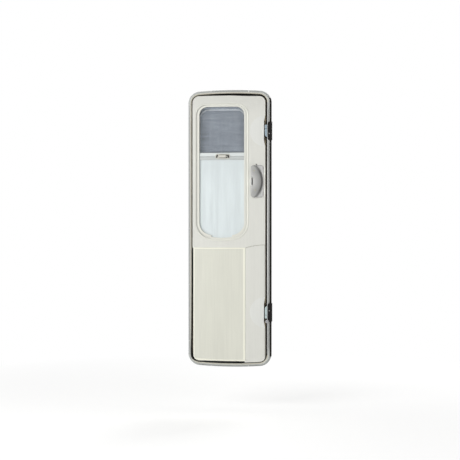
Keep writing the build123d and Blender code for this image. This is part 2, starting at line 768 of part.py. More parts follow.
def pane_trim():
    """The light trim on the inside of the pane, lower than the ring at the top."""
    def opening(out):
        face = outline(
            SIGHT_HALF - BAR_END_GAP + out,
            SIGHT_TOP - PANE_TRIM_DROP + out,
            SIGHT_FOOT + PANE_TRIM_W - out,
            SIGHT_TOP_R + out,
            SIGHT_FOOT_R + out,
            SIGHT_TOP_BOW_R + out,
            SIGHT_FOOT_BOW_R + out,
        )
        return Pos(WINDOW_X, 0) * face

    back = OUTSIDE_Y + PANE_GAP
    ring = opening(min(PANE_TRIM_W, PANE_SEAL_IN)) - opening(0)
    return slab(ring, back - PANE_TRIM_T, back)


def handle_plate():
    """The inside handle's plate, with the lug and pin that carry the lever."""
    face = Pos(HANDLE_X, HANDLE_Z) * RectangleRounded(PLATE_W, PLATE_H, PLATE_R)
    plate = slab(face, PLATE_Y, FACE_Y)
    plate = fillet(edges_at(plate, PLATE_Y), PLATE_ROUND)
    span = (HANDLE_Z - LUG_H / 2, HANDLE_Z + LUG_H / 2)
    lug = upright(LUG_R, PIVOT_AT_X, PIVOT_AT_Y, span)
    lug += block((PIVOT_AT_X - LUG_R, PIVOT_AT_X + LUG_R), (PIVOT_AT_Y, PLATE_Y), span)
    reach = LUG_H / 2 + LUG_END_GAP + PIN_REACH
    pin = upright(PIN_R, PIVOT_AT_X, PIVOT_AT_Y, (HANDLE_Z - reach, HANDLE_Z + reach))
    return plate + lug + pin


def lever_dome():
    """The barrel whose front is the lever's face: round across the lever and gently bowed along it."""
    half = PLATE_H
    end = LEVER_DOME_R - LEVER_LONG_DOME_R + sqrt(LEVER_LONG_DOME_R**2 - half**2)
    bow = ThreePointArc((end, -half), (LEVER_DOME_R, 0), (end, half))
    rest = Polyline((end, half), (0, half), (0, -half), (end, -half))
    return revolve(Plane.XZ * make_face([bow, *rest.edges()]), Axis.Z)


def handle_lever():
    """The D-shaped lever: domed, bevelled along its arc, and open beside the lug."""
    height = PLATE_H - 2 * LEVER_INSET
    middle = Pos(LEVER_LEFT + PLATE_W / 2, HANDLE_Z)
    arc_x = LEVER_LEFT + LEVER_REACH - LEVER_ARC_R
    face = middle * RectangleRounded(PLATE_W, height, PLATE_R - LEVER_INSET)
    face &= Pos(arc_x, HANDLE_Z) * Circle(LEVER_ARC_R)
    front = LEVER_BACK_Y - LEVER_T
    lever = slab(face, front, LEVER_BACK_Y)
    lever &= Pos(LEVER_LEFT + LEVER_DOME_X, front + LEVER_DOME_R, HANDLE_Z) * lever_dome()
    back_r = LEVER_ARC_R + LEVER_BEVEL * LEVER_RIM_T
    bevel = Cone(back_r, back_r - LEVER_BEVEL * LEVER_T, LEVER_T)
    lever &= Pos(arc_x, front + LEVER_T / 2, HANDLE_Z) * Rot(90, 0, 0) * bevel
    half = LUG_H / 2 + LUG_END_GAP
    wall = PIVOT_AT_X + LUG_R + LUG_SIDE_GAP
    lever -= block((LEVER_LEFT - PLATE_W, wall), (-FAR, FAR), (HANDLE_Z - half, HANDLE_Z + half))
    reach = half + PIN_REACH + LUG_SIDE_GAP
    span = (HANDLE_Z - reach, HANDLE_Z + reach)
    return lever - upright(PIN_R + PIN_CLEARANCE, PIVOT_AT_X, PIVOT_AT_Y, span)


def lock_button():
    """The small button above the handle's plate."""
    z = HANDLE_Z + PLATE_H / 2 + BUTTON_GAP + BUTTON_R
    button = crossways(BUTTON_R, HANDLE_X - BUTTON_SHIFT, z, (FACE_Y - BUTTON_T, FACE_Y))
    return fillet(edges_at(button, FACE_Y - BUTTON_T), BUTTON_ROUND)


def outer_plate():
    """The outside handle's plate, with a finger cup and a seat for the lock."""
    face = Pos(HANDLE_X, HANDLE_Z) * RectangleRounded(OUTER_PLATE_W, OUTER_PLATE_H, PLATE_R)
    front = OUTSIDE_Y + OUTER_PLATE_T
    plate = slab(face, OUTSIDE_Y, front)
    plate = fillet(edges_at(plate, front), PLATE_ROUND)
    cup = Pos(HANDLE_X, HANDLE_Z + OUTER_CUP_RISE) * RectangleRounded(OUTER_CUP_W, OUTER_CUP_H, PLATE_R / 2)
    return plate - slab(cup, OUTSIDE_Y + OUTER_CUP_FLOOR, front)


def outer_grip():
    """The fixed grip across the finger cup."""
    z = HANDLE_Z + OUTER_CUP_RISE
    half = (OUTER_CUP_H - PLATE_R) / 2
    left = HANDLE_X - OUTER_CUP_W / 2
    front = OUTSIDE_Y + OUTER_PLATE_T
    grip = block((left, left + OUTER_GRIP_W), (front - OUTER_GRIP_T, front), (z - half, z + half))
    return fillet(edges_at(grip, front).filter_by(Axis.Z), OUTER_GRIP_ROUND)


def lock_cylinder():
    """The lock's face on the outside plate, with its key slot."""
    z = HANDLE_Z - LOCK_DROP
    base = OUTSIDE_Y + OUTER_PLATE_T
    front = base + LOCK_T
    face = crossways(LOCK_R, HANDLE_X, z, (base, front))
    face = fillet(edges_at(face, front), LOCK_ROUND)
    slot_x = (HANDLE_X - KEY_SLOT_W / 2, HANDLE_X + KEY_SLOT_W / 2)
    slot_z = (z - KEY_SLOT_H / 2, z + KEY_SLOT_H / 2)
    return face - block(slot_x, (front - KEY_SLOT_D, front), slot_z)


def hinge_strap(z):
    """The leaf's half of one hinge: a strap on the skin and the middle knuckle."""
    width = STRAP_RIGHT - STRAP_LEFT
    face = Pos(STRAP_LEFT + width / 2, z) * RectangleRounded(width, STRAP_H, STRAP_R)
    strap = slab(face, OUTSIDE_Y, OUTSIDE_Y + HINGE_PLATE_T)
    span = (z - LEAF_KNUCKLE_H / 2, z + LEAF_KNUCKLE_H / 2)
    arm = block((HINGE_X, STRAP_LEFT + STRAP_R), (OUTSIDE_Y, OUTSIDE_Y + HINGE_PLATE_T), span)
    strap = strap + arm + upright(KNUCKLE_R, HINGE_X, HINGE_Y, span)
    return strap - upright(HINGE_PIN_R + HINGE_PIN_CLEARANCE, HINGE_X, HINGE_Y, span)


def hinge_bracket(z):
    """The frame's half of one hinge: a plate on the flange and two knuckles on webs."""
    half = HINGE_H / 2
    inner = LEAF_KNUCKLE_H / 2 + KNUCKLE_GAP
    plate_x = (HINGE_X - WEB_W / 2, HINGE_X - WEB_W / 2 + FRAME_PLATE_W)
    plate_y = (FLANGE_T, FLANGE_T + HINGE_PLATE_T)
    bracket = block(plate_x, plate_y, (z - half, z + half))
    for span in ((z - half, z - inner), (z + inner, z + half)):
        bracket += block((HINGE_X - WEB_W / 2, HINGE_X + WEB_W / 2), (FLANGE_T, HINGE_Y), span)
        bracket += upright(KNUCKLE_R, HINGE_X, HINGE_Y, span)
    return bracket - upright(HINGE_PIN_R + HINGE_PIN_CLEARANCE, HINGE_X, HINGE_Y, (z - half, z + half))


def hinge_pin(z):
    """The pin of one hinge, with a head on the upper knuckle."""
    half = HINGE_H / 2
    pin = upright(HINGE_PIN_R, HINGE_X, HINGE_Y, (z - half, z + half))
    return pin + upright(HINGE_PIN_HEAD_R, HINGE_X, HINGE_Y, (z + half, z + half + HINGE_PIN_HEAD_T))


def all_pieces():
    """Every piece of the door by its name."""
    pieces = {**frame_pieces(), **leaf_core_pieces()}
    pieces["leaf_edge_band"] = edge_band()
    pieces["outer_skin"] = outer_skin()
    pieces["leaf_seal"] = leaf_seal()
    pieces["upper_lining"] = upper_lining()
    pieces["lower_lining"] = lower_lining()
    pieces["lower_cover_panel"] = lower_cover()
    pieces["window_ring"] = window_ring()
    pieces["blind_guide"] = blind_guide()
    pieces["window_liner"] = window_liner()
    pieces["flyscreen"] = cloth(BAR_TOP, SIGHT_TOP + GUIDE_W)
    pieces["blind_fabric"] = cloth(SIGHT_FOOT - GUIDE_W, BAR_FOOT)
    pieces["screen_bar"] = blind_bar(BAR_MIDDLE)
    pieces["blind_bar"] = blind_bar(BAR_FOOT)
    pieces["blind_catch_plate"] = catch_plate()
    pieces["blind_catch_thumb"] = catch_thumb()
    pieces["blind_catch_left_hook"] = catch_hook(-1)
    pieces["blind_catch_right_hook"] = catch_right_hook()
    pieces["window_pane"] = window_pane()
    pieces["pane_seal"] = pane_seal()
    pieces["pane_trim"] = pane_trim()
    pieces["inside_handle_plate"] = handle_plate()
    pieces["inside_handle_lever"] = handle_lever()
    pieces["lock_button"] = lock_button()
    pieces["outside_handle_plate"] = outer_plate()
    pieces["outside_handle_grip"] = outer_grip()
    pieces["lock_cylinder"] = lock_cylinder()
    for name, toward in (("upper", -1), ("lower", 1)):
        z = LATCHES[name]
        pieces[f"{name}_latch_boss"] = latch_boss(z)
        pieces[f"{name}_latch_case"] = latch_case(z)
        pieces[f"{name}_striker"] = striker(z, toward)
        pieces[f"{name}_striker_seat"] = striker_seat(z, toward)
        pieces[f"{name}_keeper"] = keeper(z)
    for name, z in HINGES.items():
        pieces[f"{name}_hinge_strap"] = hinge_strap(z)
        pieces[f"{name}_hinge_bracket"] = hinge_bracket(z)
        pieces[f"{name}_hinge_pin"] = hinge_pin(z)
    return pieces


os.makedirs("parts", exist_ok=True)
for piece_name, piece in all_pieces().items():
    export_step(piece, f"parts/{piece_name}.step")
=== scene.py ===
import json
from math import atan2, cos, pi, radians, sin, sqrt

import bpy
from bpy.props import FloatProperty, FloatVectorProperty, IntProperty, PointerProperty
from mathutils import Matrix, Vector

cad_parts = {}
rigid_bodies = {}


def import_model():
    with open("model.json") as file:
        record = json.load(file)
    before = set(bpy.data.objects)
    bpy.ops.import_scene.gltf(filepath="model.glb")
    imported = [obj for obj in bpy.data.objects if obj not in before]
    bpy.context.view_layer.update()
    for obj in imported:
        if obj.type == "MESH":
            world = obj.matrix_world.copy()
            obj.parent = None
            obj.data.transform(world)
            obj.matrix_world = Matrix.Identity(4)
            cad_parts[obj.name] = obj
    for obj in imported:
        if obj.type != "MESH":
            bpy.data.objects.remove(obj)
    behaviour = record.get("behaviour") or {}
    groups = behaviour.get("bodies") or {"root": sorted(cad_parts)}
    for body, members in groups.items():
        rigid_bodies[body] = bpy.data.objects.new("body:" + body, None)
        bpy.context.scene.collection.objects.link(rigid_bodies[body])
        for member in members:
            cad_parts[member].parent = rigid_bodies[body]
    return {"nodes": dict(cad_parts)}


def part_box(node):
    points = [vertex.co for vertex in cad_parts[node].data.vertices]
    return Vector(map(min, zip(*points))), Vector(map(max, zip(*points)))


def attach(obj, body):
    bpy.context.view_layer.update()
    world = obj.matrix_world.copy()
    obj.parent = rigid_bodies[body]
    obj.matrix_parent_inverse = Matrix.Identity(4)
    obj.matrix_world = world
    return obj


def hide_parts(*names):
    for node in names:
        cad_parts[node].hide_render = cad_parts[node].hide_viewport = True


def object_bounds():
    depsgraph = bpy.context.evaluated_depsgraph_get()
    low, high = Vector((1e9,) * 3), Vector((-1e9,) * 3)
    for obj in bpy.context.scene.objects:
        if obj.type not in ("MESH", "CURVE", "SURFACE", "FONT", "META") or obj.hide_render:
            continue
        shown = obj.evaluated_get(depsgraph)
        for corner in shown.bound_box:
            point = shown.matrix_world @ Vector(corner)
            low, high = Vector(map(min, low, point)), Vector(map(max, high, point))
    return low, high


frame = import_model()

bl_info = {
    "name": "Caravan Entry Door",
    "version": (1, 0, 0),
    "blender": (4, 5, 0),
    "location": "3D View > Sidebar > Door",
    "description": "Dresses a caravan entry door: linings, window with blind, handles, latches and hinges",
    "category": "Object",
}

CAD_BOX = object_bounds()
NODES = frame["nodes"]
FRAME_BODY, LEAF_BODY, LEVER_BODY = "frame", "leaf", "lever"
LEVELS = ("upper", "lower")
MM = 0.001
TINY = 1e-5
ROOM = Vector((0, -1, 0))
OUTDOORS = Vector((0, 1, 0))

# The picture's width in pixels, and what one pixel covers at the door in millimetres
PICTURE_PX, PIXEL_MM = 460, 6.358

# Half the width over which one painted colour turns into the next
SOFT = 0.3 * MM

# How strong the streaks of the laminates are
LINING_STREAKS, COVER_STREAKS = 0.35, 0.6

# Where the lever's caps sit, as shares of its width and height
CAP_PLACES = ((0.30, 0.83), (0.38, 0.22))

# Each lamp's place from the middle of the door, and its width, in metres
LAMPS = {
    "key": (Vector((-2.5, -3.7, 1.1)), 3.0),
    "fill": (Vector((2.6, -4.4, 0.5)), 2.4),
    "back": (Vector((1.6, 3.8, 1.4)), 2.0),
}


def low(node):
    """The lowest corner of a CAD node."""
    return Vector(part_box(node)[0])


def high(node):
    """The highest corner of a CAD node."""
    return Vector(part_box(node)[1])


def middle(node):
    """The middle of a CAD node's box."""
    return (low(node) + high(node)) / 2


def span(node):
    """The size of a CAD node's box."""
    return high(node) - low(node)


MID_Z = (low("frame_bottom_rail").z + high("frame_top_rail").z) / 2
LIP_Y = low("frame_hinge_stile").y
DIVIDE_Z = high("lower_cover_panel").z
PANE = (low("window_pane"), high("window_pane"))
WINDOW_X = middle("window_pane").x


def length(label, description, default):
    """A size that the sidebar shows, given in millimetres."""
    return FloatProperty(
        name=label, description=description, default=default * MM, subtype="DISTANCE", unit="LENGTH"
    )


def number(label, description, default):
    """A plain number that the sidebar shows."""
    return FloatProperty(name=label, description=description, default=default)


def count(label, description, default):
    """A whole number that the sidebar shows."""
    return IntProperty(name=label, description=description, default=default)


def angle(label, description, default):
    """An angle that the sidebar shows, given in degrees."""
    return FloatProperty(name=label, description=description, default=radians(default), subtype="ANGLE")


def colour(label, description, red, green, blue):
    """A colour as it looks on a screen, from 0 to 255."""
    default = (red / 255, green / 255, blue / 255)
    return FloatVectorProperty(
        name=label, description=description, default=default, subtype="COLOR_GAMMA", min=0, max=1
    )


class DoorSizes(bpy.types.PropertyGroup):
    """Sizes of what is modelled here."""

    opening_half_w: length("Opening half width", "Half of the width between the frame's walls", 242.5)
    opening_half_h: length("Opening half height", "Half of the opening's height at mid-width", 859)
    opening_corner: length("Opening corner", "Radius of the opening's corners", 52)
    opening_bow: length("Opening bow", "Radius of the bowed rails", 2600)
    lip_round: length("Lip round", "Radius of the lip's rounded edges", 6.5)
    leaf_corner: length("Leaf corner", "Radius of the leaf's corners", 38)
    leaf_bow: length("Leaf bow", "Radius of the bow at the leaf's ends", 9000)
    # The next three size a black band of painted shade over the upper lining's corner, which widens the dark
    # gap there.
    gap_shade_w: length("Seal lip", "Width of the seal's lip over the upper lining", 5.5)
    gap_shade_run: length("Lip run", "How far from the door's middle the lip reaches its full width", 120)
    gap_shade_reach: length("Lip reach", "How far down the latch side the lip goes", 40)
    seam_x: length("Seam", "Where the bent section's ends meet, from the middle of the top rail", 125)
    seam_w: length("Seam width", "Half the width of the seam in the top rail", 2.4)
    infill_t: length("Infill height", "Height of the infill over the lip's inner half", 0.4)
    infill_wall: length("Infill wall", "Thickness of the infill's shell", 0.6)
    # Where the infill's black inner edge of painted shade starts, and how much broader it is at the hinge
    # side's foot.
    infill_shade_depth: length("Infill edge", "Depth at which the infill's black inner edge starts", 3)
    infill_shade_broad: length("Broad infill edge", "How much broader that edge is at the hinge side's foot", 4.6)
    flange_out: length("Flange", "How far the flange's edge lies from the opening", 24)
    gasket_w: length("Gasket width", "Width of the rubber gasket on the latch side's flange", 11.5)
    gasket_out: length("Gasket overhang", "How far the gasket stands out past the flange", 2)
    gasket_t: length("Gasket height", "Height of the rubber gasket on the latch side's flange", 4.5)
    gasket_top: angle("Gasket top", "How far the gasket goes round the upper corner", 23)
    gasket_foot: angle("Gasket foot", "How far the gasket goes round the lower corner", 12)
    bead_t: length("Bead height", "Height of the window ring's bead over its rim", 1)
    channel_d: length("Channel depth", "Depth of the window ring's channel", 2.3)
    pane_lap: length("Pane lap", "How far the pane reaches past the sight line", 20)
    cloth_lap: length("Cloth lap", "How far the cloth reaches into its guides", 11)
    sight_top_corner: length("Sight top corner", "Radius of the sight's upper corners", 52)
    sight_foot_corner: length("Sight foot corner", "Radius of the sight's lower corners", 80)
    sight_top_bow: length("Sight top bow", "Radius of the sight's upper edge", 6000)
    sight_foot_bow: length("Sight foot bow", "Radius of the sight's lower edge", 363)
    cloth_t: length("Cloth thickness", "Thickness of the blind's cloth", 0.4)
    cloth_columns: count("Cloth columns", "Columns of faces across a cloth", 96)
    cloth_rows: count("Cloth rows", "Rows of faces down a cloth", 60)
    fold_d: length("Fold depth", "Depth of the soft upright folds in the blind", 0.9)
    fold_broad: length("Broad folds", "Distance between the blind's broad folds", 118)
    fold_narrow: length("Narrow folds", "Distance between the blind's narrow folds", 47)
    fold_lean: length("Fold lean", "How far the blind's folds lean to one side", 12)
    mesh_pitch: length("Mesh pitch", "Distance between threads of the flyscreen", 1.6)
    blind_pitch: length("Blind pitch", "Distance between threads of the blind", 0.9)
    thumb_line: length("Thumb line", "Width of the dark lines along the catch's thumb piece", 4.5)
    # Width of the rims of painted light and shade on the window's ring and the lower lining.
    painted_light_rim: length("Ring rim", "Width of the toned rims on the window's ring and the lower lining", 7)
    screw_r: length("Screw head", "Radius of the pan head screws", 3.4)
    screw_t: length("Screw head height", "Height of the pan head screws", 1.5)
    screw_in: length("Screw inset", "From an edge to the screws of the outside handle and the hinges", 9)
    strap_reach: number("Strap screws", "Their reach from a strap's middle, as a share of its height", 0.32)
    keeper_in: length("Keeper screw inset", "From a keeper's edge to its screw", 10)
    upper_rise: length("Upper keeper screw", "How far the screw lies above the upper keeper's middle", -17)
    lower_rise: length("Lower keeper screw", "How far the screw lies above the lower keeper's middle", 11)
    upper_split: length("Upper split", "From the upper striker's top down to its split", 24)
    lower_split: length("Lower split", "From the lower striker's foot up to its split", 22)
    split_w: length("Striker split", "Half the width of the split across a striker", 1.6)
    # The next three size the plate's rim of painted shade and the painted light in the lever's slot.
    plate_shade_rim: length("Plate rim", "Width of the darker rim of the inside handle's plate", 5)
    slot_w: length("Slot width", "From the plate's edge to the far side of the lever's slot", 18)
    slot_h: length("Slot height", "Height of the pale place under the lever's slot", 60)
    cap_r: length("Cap radius", "Radius of the caps over the lever's screws", 4.5)
    cap_t: length("Cap height", "Height of the caps over the lever's screws", 0.8)
    roller_r: length("Roller radius", "Radius of the roller below the lower striker", 9.5)
    roller_t: length("Roller depth", "Depth of the roller below the lower striker", 6)
    roller_past: length("Roller offset", "From the lower striker's edge to the roller's middle", 0.5)
    roller_drop: length("Roller drop", "From the lower striker's foot down to the roller's middle", 19)
    # Width of the cream painted highlight along the raised lower panel's edges.
    cover_highlight: length("Cover edge", "Width of the cream edge of the raised lower panel", 9)


class DoorColours(bpy.types.PropertyGroup):
    """Colours of the finishes."""

    frame_metal: colour("Frame metal", "Painted frame section", 162, 164, 161)
    lip_strip: colour("Lip strip", "Bright strip on the inner half of the latch side's lip", 190, 191, 190)
    infill: colour("Lip infill", "Infill over the inner half of the frame's lip", 198, 195, 181)
    lining: colour("Linings", "Laminate of the upper and lower linings", 220, 220, 213)
    cover: colour("Cover panel", "Laminate of the raised lower panel", 220, 220, 208)
    # Colour of the painted highlight along the raised lower panel's edges.
    cover_highlight: colour("Cover edge", "Cream edge of the raised lower panel", 240, 239, 224)
    boss: colour("Latch bosses", "Low discs over the latches", 221, 222, 217)
    ring: colour("Window ring", "Moulded ring round the window", 224, 224, 215)
    edge_band: colour("Edge band", "Band round the leaf's edge", 196, 182, 152)
    core: colour("Core", "Wood and foam inside the leaf", 130, 120, 98)
    skin: colour("Outer skin", "Painted sheet on the outside", 222, 223, 221)
    rubber: colour("Rubber", "Seals", 20, 19, 18)
    # Black of the gasket, which also stands in for the shadow on the latch side's flange.
    gasket: colour("Gasket", "Gasket down the latch side of the frame", 44, 40, 37)
    keeper: colour("Keepers", "Black moulded keepers", 20, 18, 17)
    # The blue tint of the upper striker's and lock's plating is a painted reflection.
    chrome: colour("Chrome", "Plated upper striker and lock", 154, 169, 178)
    # The paleness of the lower striker's plating is a painted highlight.
    highlit_chrome: colour("Pale chrome", "Plated lower striker", 186, 200, 199)
    steel: colour("Steel", "Screws, pins and latch cases", 150, 150, 148)
    hinge: colour("Hinges", "Painted hinges", 226, 226, 223)
    thread: colour("Flyscreen", "Threads of the flyscreen", 168, 177, 188)
    blind: colour("Blind", "Cloth of the blind", 222, 230, 231)
    bar_light: colour("Screen bar", "Bar at the foot of the flyscreen", 217, 222, 221)
    bar_grey: colour("Blind bar", "Bar at the head of the blind", 189, 193, 192)
    catch_thumb: colour("Thumb piece", "Thumb piece of the catch", 208, 206, 197)
    catch: colour("Catch", "Catch between the bars", 196, 194, 184)
    pane: colour("Pane", "Tinted outside pane", 124, 130, 137)
    pane_trim: colour("Pane trim", "Trim on the inside of the pane", 244, 244, 242)
    handle: colour("Inside handle", "Inside handle's lever", 172, 172, 170)
    handle_plate: colour("Handle plate", "Inside handle's plate", 194, 194, 192)
    cap: colour("Caps", "Caps over the lever's screws", 176, 172, 148)
    roller: colour("Roller", "Roller below the lower striker", 176, 176, 178)
    outside_handle: colour("Outside handle", "Outside handle's plate and grip", 206, 206, 203)
    floor: colour("Floor", "Plain floor of the studio", 244, 244, 243)


class DoorStage(bpy.types.PropertyGroup):
    """The camera, the lights and the floor."""

    azimuth: angle("Azimuth", "How far the camera stands to the right of straight on", 7.5)
    elevation: angle("Elevation", "How far the camera stands above the middle of the door", 0.5)
    distance: length("Distance", "From the camera to the door", 7000)
    view_w: length("View width", "Width of the picture at the door", PICTURE_PX * PIXEL_MM)
    sensor_w: number("Sensor width", "Width of the camera's sensor, in millimetres", 36)
    aim_x: length("Aim across", "Where the camera looks, across the door", 5.7)
    aim_drop: length("Aim drop", "Where the camera looks, below the middle of the door", 9.5)
    floor_w: length("Floor width", "Width of the floor", 60000)
    floor_drop: length("Floor drop", "Floor below the door's foot", 280)
    floor_near: length("Floor near", "From the door to where the floor starts to turn white", 500)
    floor_far: length("Floor far", "From the door to where the floor is all white", 3000)
    floor_glow: number("Floor glow", "How much the floor is lifted towards white where it is seen", 0.34)
    key_power: number("Key light", "Power of the light from the hinge side, in watts", 144)
    fill_power: number("Fill light", "Power of the light from the latch side, in watts", 26)
    back_power: number("Back light", "Power of the light outside, in watts", 80)
    world_light: number("Surrounding light", "Strength of the light from all round", 0.27)


def sizes():
    return bpy.context.scene.door_sizes


def colours():
    return bpy.context.scene.door_colours


def linear(shown):
    """A screen colour as the linear colour that shaders use."""
    return tuple(part / 12.92 if part <= 0.04045 else ((part + 0.055) / 1.055) ** 2.4 for part in shown)


def shade_shown(shown, factor):
    """A screen colour, made darker or lighter."""
    return tuple(min(part * factor, 1.0) for part in shown)


def shade(shown, factor):
    """A screen colour as a linear one, made darker or lighter."""
    return tuple(min(part * factor, 1.0) for part in linear(shown)) + (1.0,)


# Finishes


class Wire:
    """A shader socket that takes part in sums."""

    def __init__(self, nodes, socket):
        self.nodes = nodes
        self.socket = socket

    def __add__(self, other):
        return self.nodes.maths("ADD", self, other)

    def __radd__(self, other):
        return self.nodes.maths("ADD", other, self)

    def __sub__(self, other):
        return self.nodes.maths("SUBTRACT", self, other)

    def __rsub__(self, other):
        return self.nodes.maths("SUBTRACT", other, self)

    def __mul__(self, other):
        return self.nodes.maths("MULTIPLY", self, other)

    def __rmul__(self, other):
        return self.nodes.maths("MULTIPLY", other, self)

    def __abs__(self):
        return self.nodes.maths("ABSOLUTE", self)


class Nodes:
    """A node tree that expressions add nodes to."""

    def __init__(self, tree):
        self.tree = tree

    def join(self, socket, value):
        """Links a socket, or sets it to a plain value."""
        if isinstance(value, Wire):
            self.tree.links.new(value.socket, socket)
        else:
            socket.default_value = value

    def node(self, kind, settings=None, inputs=None, output=0):
        """Any node: its settings first, then the values or links of its sockets."""
        made = self.tree.nodes.new(kind)
        for name, value in (settings or {}).items():
            setattr(made, name, value)
        for socket, value in (inputs or {}).items():
            self.join(made.inputs[socket], value)
        return Wire(self, made.outputs[output])

    def maths(self, operation, *values):
        """A Math node."""
        return self.node("ShaderNodeMath", {"operation": operation}, dict(enumerate(values)))


def bow_fall(x, bow_r):
    """How far a shallow bow falls away at a distance across it."""
    return x * x * (0.5 / bow_r)


class Finish(Nodes):
    """A material: one shader, and the nodes that feed it."""

    def __init__(self, name, **constants):
        self.material = bpy.data.materials.new(name)
        self.material.use_nodes = True
        super().__init__(self.material.node_tree)
        self.shader = self.tree.nodes["Principled BSDF"]
        for socket, value in constants.items():
            self.feed(socket.replace("_", " ").title().replace("Ior", "IOR"), value)

    def feed(self, socket, value):
        """Sets or links one of the shader's sockets."""
        self.join(self.shader.inputs[socket], value)

    def paint(self, tone, where=None):
        """Colours everything, or lays a colour over what is there, where a value is 1."""
        self.tone = tone if where is None else self.blend(where, self.tone, tone)
        self.feed("Base Color", self.tone)

    def place(self):
        return self.node("ShaderNodeTexCoord", output="Object")

    def across(self, axis):
        """One coordinate of the place on the object, in metres."""
        return self.node("ShaderNodeSeparateXYZ", inputs={0: self.place()}, output=axis)

    def off_middle(self, node, axis):
        """How far a place lies from a CAD node's middle along one axis."""
        return self.across(axis) - middle(node)["XYZ".index(axis)]

    def latch_side(self, start, end, centre_x=0.0):
        """0 before one place across the door and 1 past another, in millimetres from a centre."""
        return self.spread(self.across("X") - centre_x, start * MM, end * MM)

    def hinge_side(self, start, end, centre_x=0.0):
        """1 before one place across the door and 0 past another, in millimetres from a centre."""
        return 1 - self.latch_side(start, end, centre_x)

    def above(self, start, end):
        """0 below one height and 1 above another, in millimetres."""
        return self.spread(self.across("Z"), start * MM, end * MM)

    def above_divide(self):
        """1 above the line between the upper lining and the lower panel."""
        return self.spread(self.across("Z"), DIVIDE_Z - 10 * MM, DIVIDE_Z)

    def rim(self, node, side, width):
        """1 along one side of a CAD node, such as +X, up to a width."""
        sign, axis = side
        index = "XYZ".index(axis)
        if sign == "+":
            return self.near(high(node)[index] - self.across(axis), width)
        return self.near(self.across(axis) - low(node)[index], width)

    def cloud(self, scale, stretch=(1, 1, 1), detail=3.0, roughness=0.55):
        """Soft noise from 0 to 1, with features about 1 / scale metres across."""
        vector = self.node("ShaderNodeMapping", inputs={"Vector": self.place(), "Scale": stretch})
        inputs = {"Vector": vector, "Scale": scale, "Detail": detail, "Roughness": roughness}
        return self.node("ShaderNodeTexNoise", {"noise_dimensions": "3D"}, inputs)

    def thread(self, axis, pitch):
        """A rounded thread across one axis: 1 on its crown and 0 in the hole beside it."""
        return self.maths("COSINE", self.across(axis) * (2 * pi / pitch)) * 0.5 + 0.5

    def spread(self, value, start, end):
        """A value stretched so that start becomes 0 and end becomes 1, and held there."""
        inputs = {"Value": value, "From Min": start, "From Max": end}
        return self.node("ShaderNodeMapRange", {"clamp": True}, inputs)

    def near(self, distance, width):
        """1 where a distance is well below a width, and 0 past it."""
        return 1 - self.spread(distance, width * 0.75, width)

    def largest(self, first, *others):
        """The largest of several values."""
        for other in others:
            first = self.maths("MAXIMUM", first, other)
        return first

    def root(self, value):
        return self.maths("SQRT", value)

    def blend(self, factor, first, second):
        """A colour between two colours."""
        return self.node("ShaderNodeMix", {"data_type": "RGBA"}, {0: factor, 6: first, 7: second}, output=2)

    def tones(self, factor, shown, first, second):
        """A colour between two shades of one colour."""
        return self.blend(factor, shade(shown, first), shade(shown, second))

    def bump(self, height, depth, strength=1.0):
        """Fine relief, with its depth in millimetres."""
        inputs = {"Strength": strength, "Distance": depth * MM, "Height": height}
        self.feed("Normal", self.node("ShaderNodeBump", inputs=inputs))

    def surface(self, texture, gloss, change, depth):
        """A roughness and a fine relief that follow one texture."""
        self.feed("Roughness", gloss + texture * change)
        self.bump(texture, depth)

    def peel(self, gloss):
        """The faint orange peel of moulded plastic."""
        self.surface(self.cloud(1500, detail=2), gloss, 0.12, 0.05)

    def spark(self):
        """The fine matt texture that a spark-eroded mould gives."""
        self.surface(self.cloud(2600, detail=2), 0.36, 0.18, 0.06)

    def lines(self, gloss):
        """The fine lines along drawn metal."""
        line = self.cloud(2200, (1, 1, 0.02))
        self.surface(line, gloss, 0.14, 0.015)
        return line

    def dust(self, start):
        """The dusty bloom on rubber, where its pattern rises over a start."""
        dust = self.spread(self.cloud(70, detail=4), start, 0.8)
        self.feed("Roughness", 0.7 + dust * 0.2)
        self.bump(self.cloud(1800), 0.05)
        return dust


def laminate(name, shown, streaks):
    """Pale laminate with a fine upright grain, streaks and broad soft bands."""
    finish = Finish(name, specular_ior_level=0.3)
    fibre = finish.cloud(1300, (1, 1, 0.03), 4)
    grain = finish.cloud(260, (1, 1, 0.04), 4)
    streak = finish.spread(finish.cloud(90, (1, 1, 0.045)), 0.35, 0.65)
    band = finish.spread(finish.cloud(17, (1, 1, 0.09), 2), 0.35, 0.65)
    tone = grain * 0.25 + fibre * 0.10 + streak * 0.35 + band * 0.30
    finish.paint(finish.tones(tone, shown, 1 - 0.12 * streaks, 1 + 0.08 * streaks))
    finish.feed("Roughness", 0.42 + grain * 0.16)
    finish.bump(fibre * 0.6 + grain * 0.4, 0.06)
    return finish


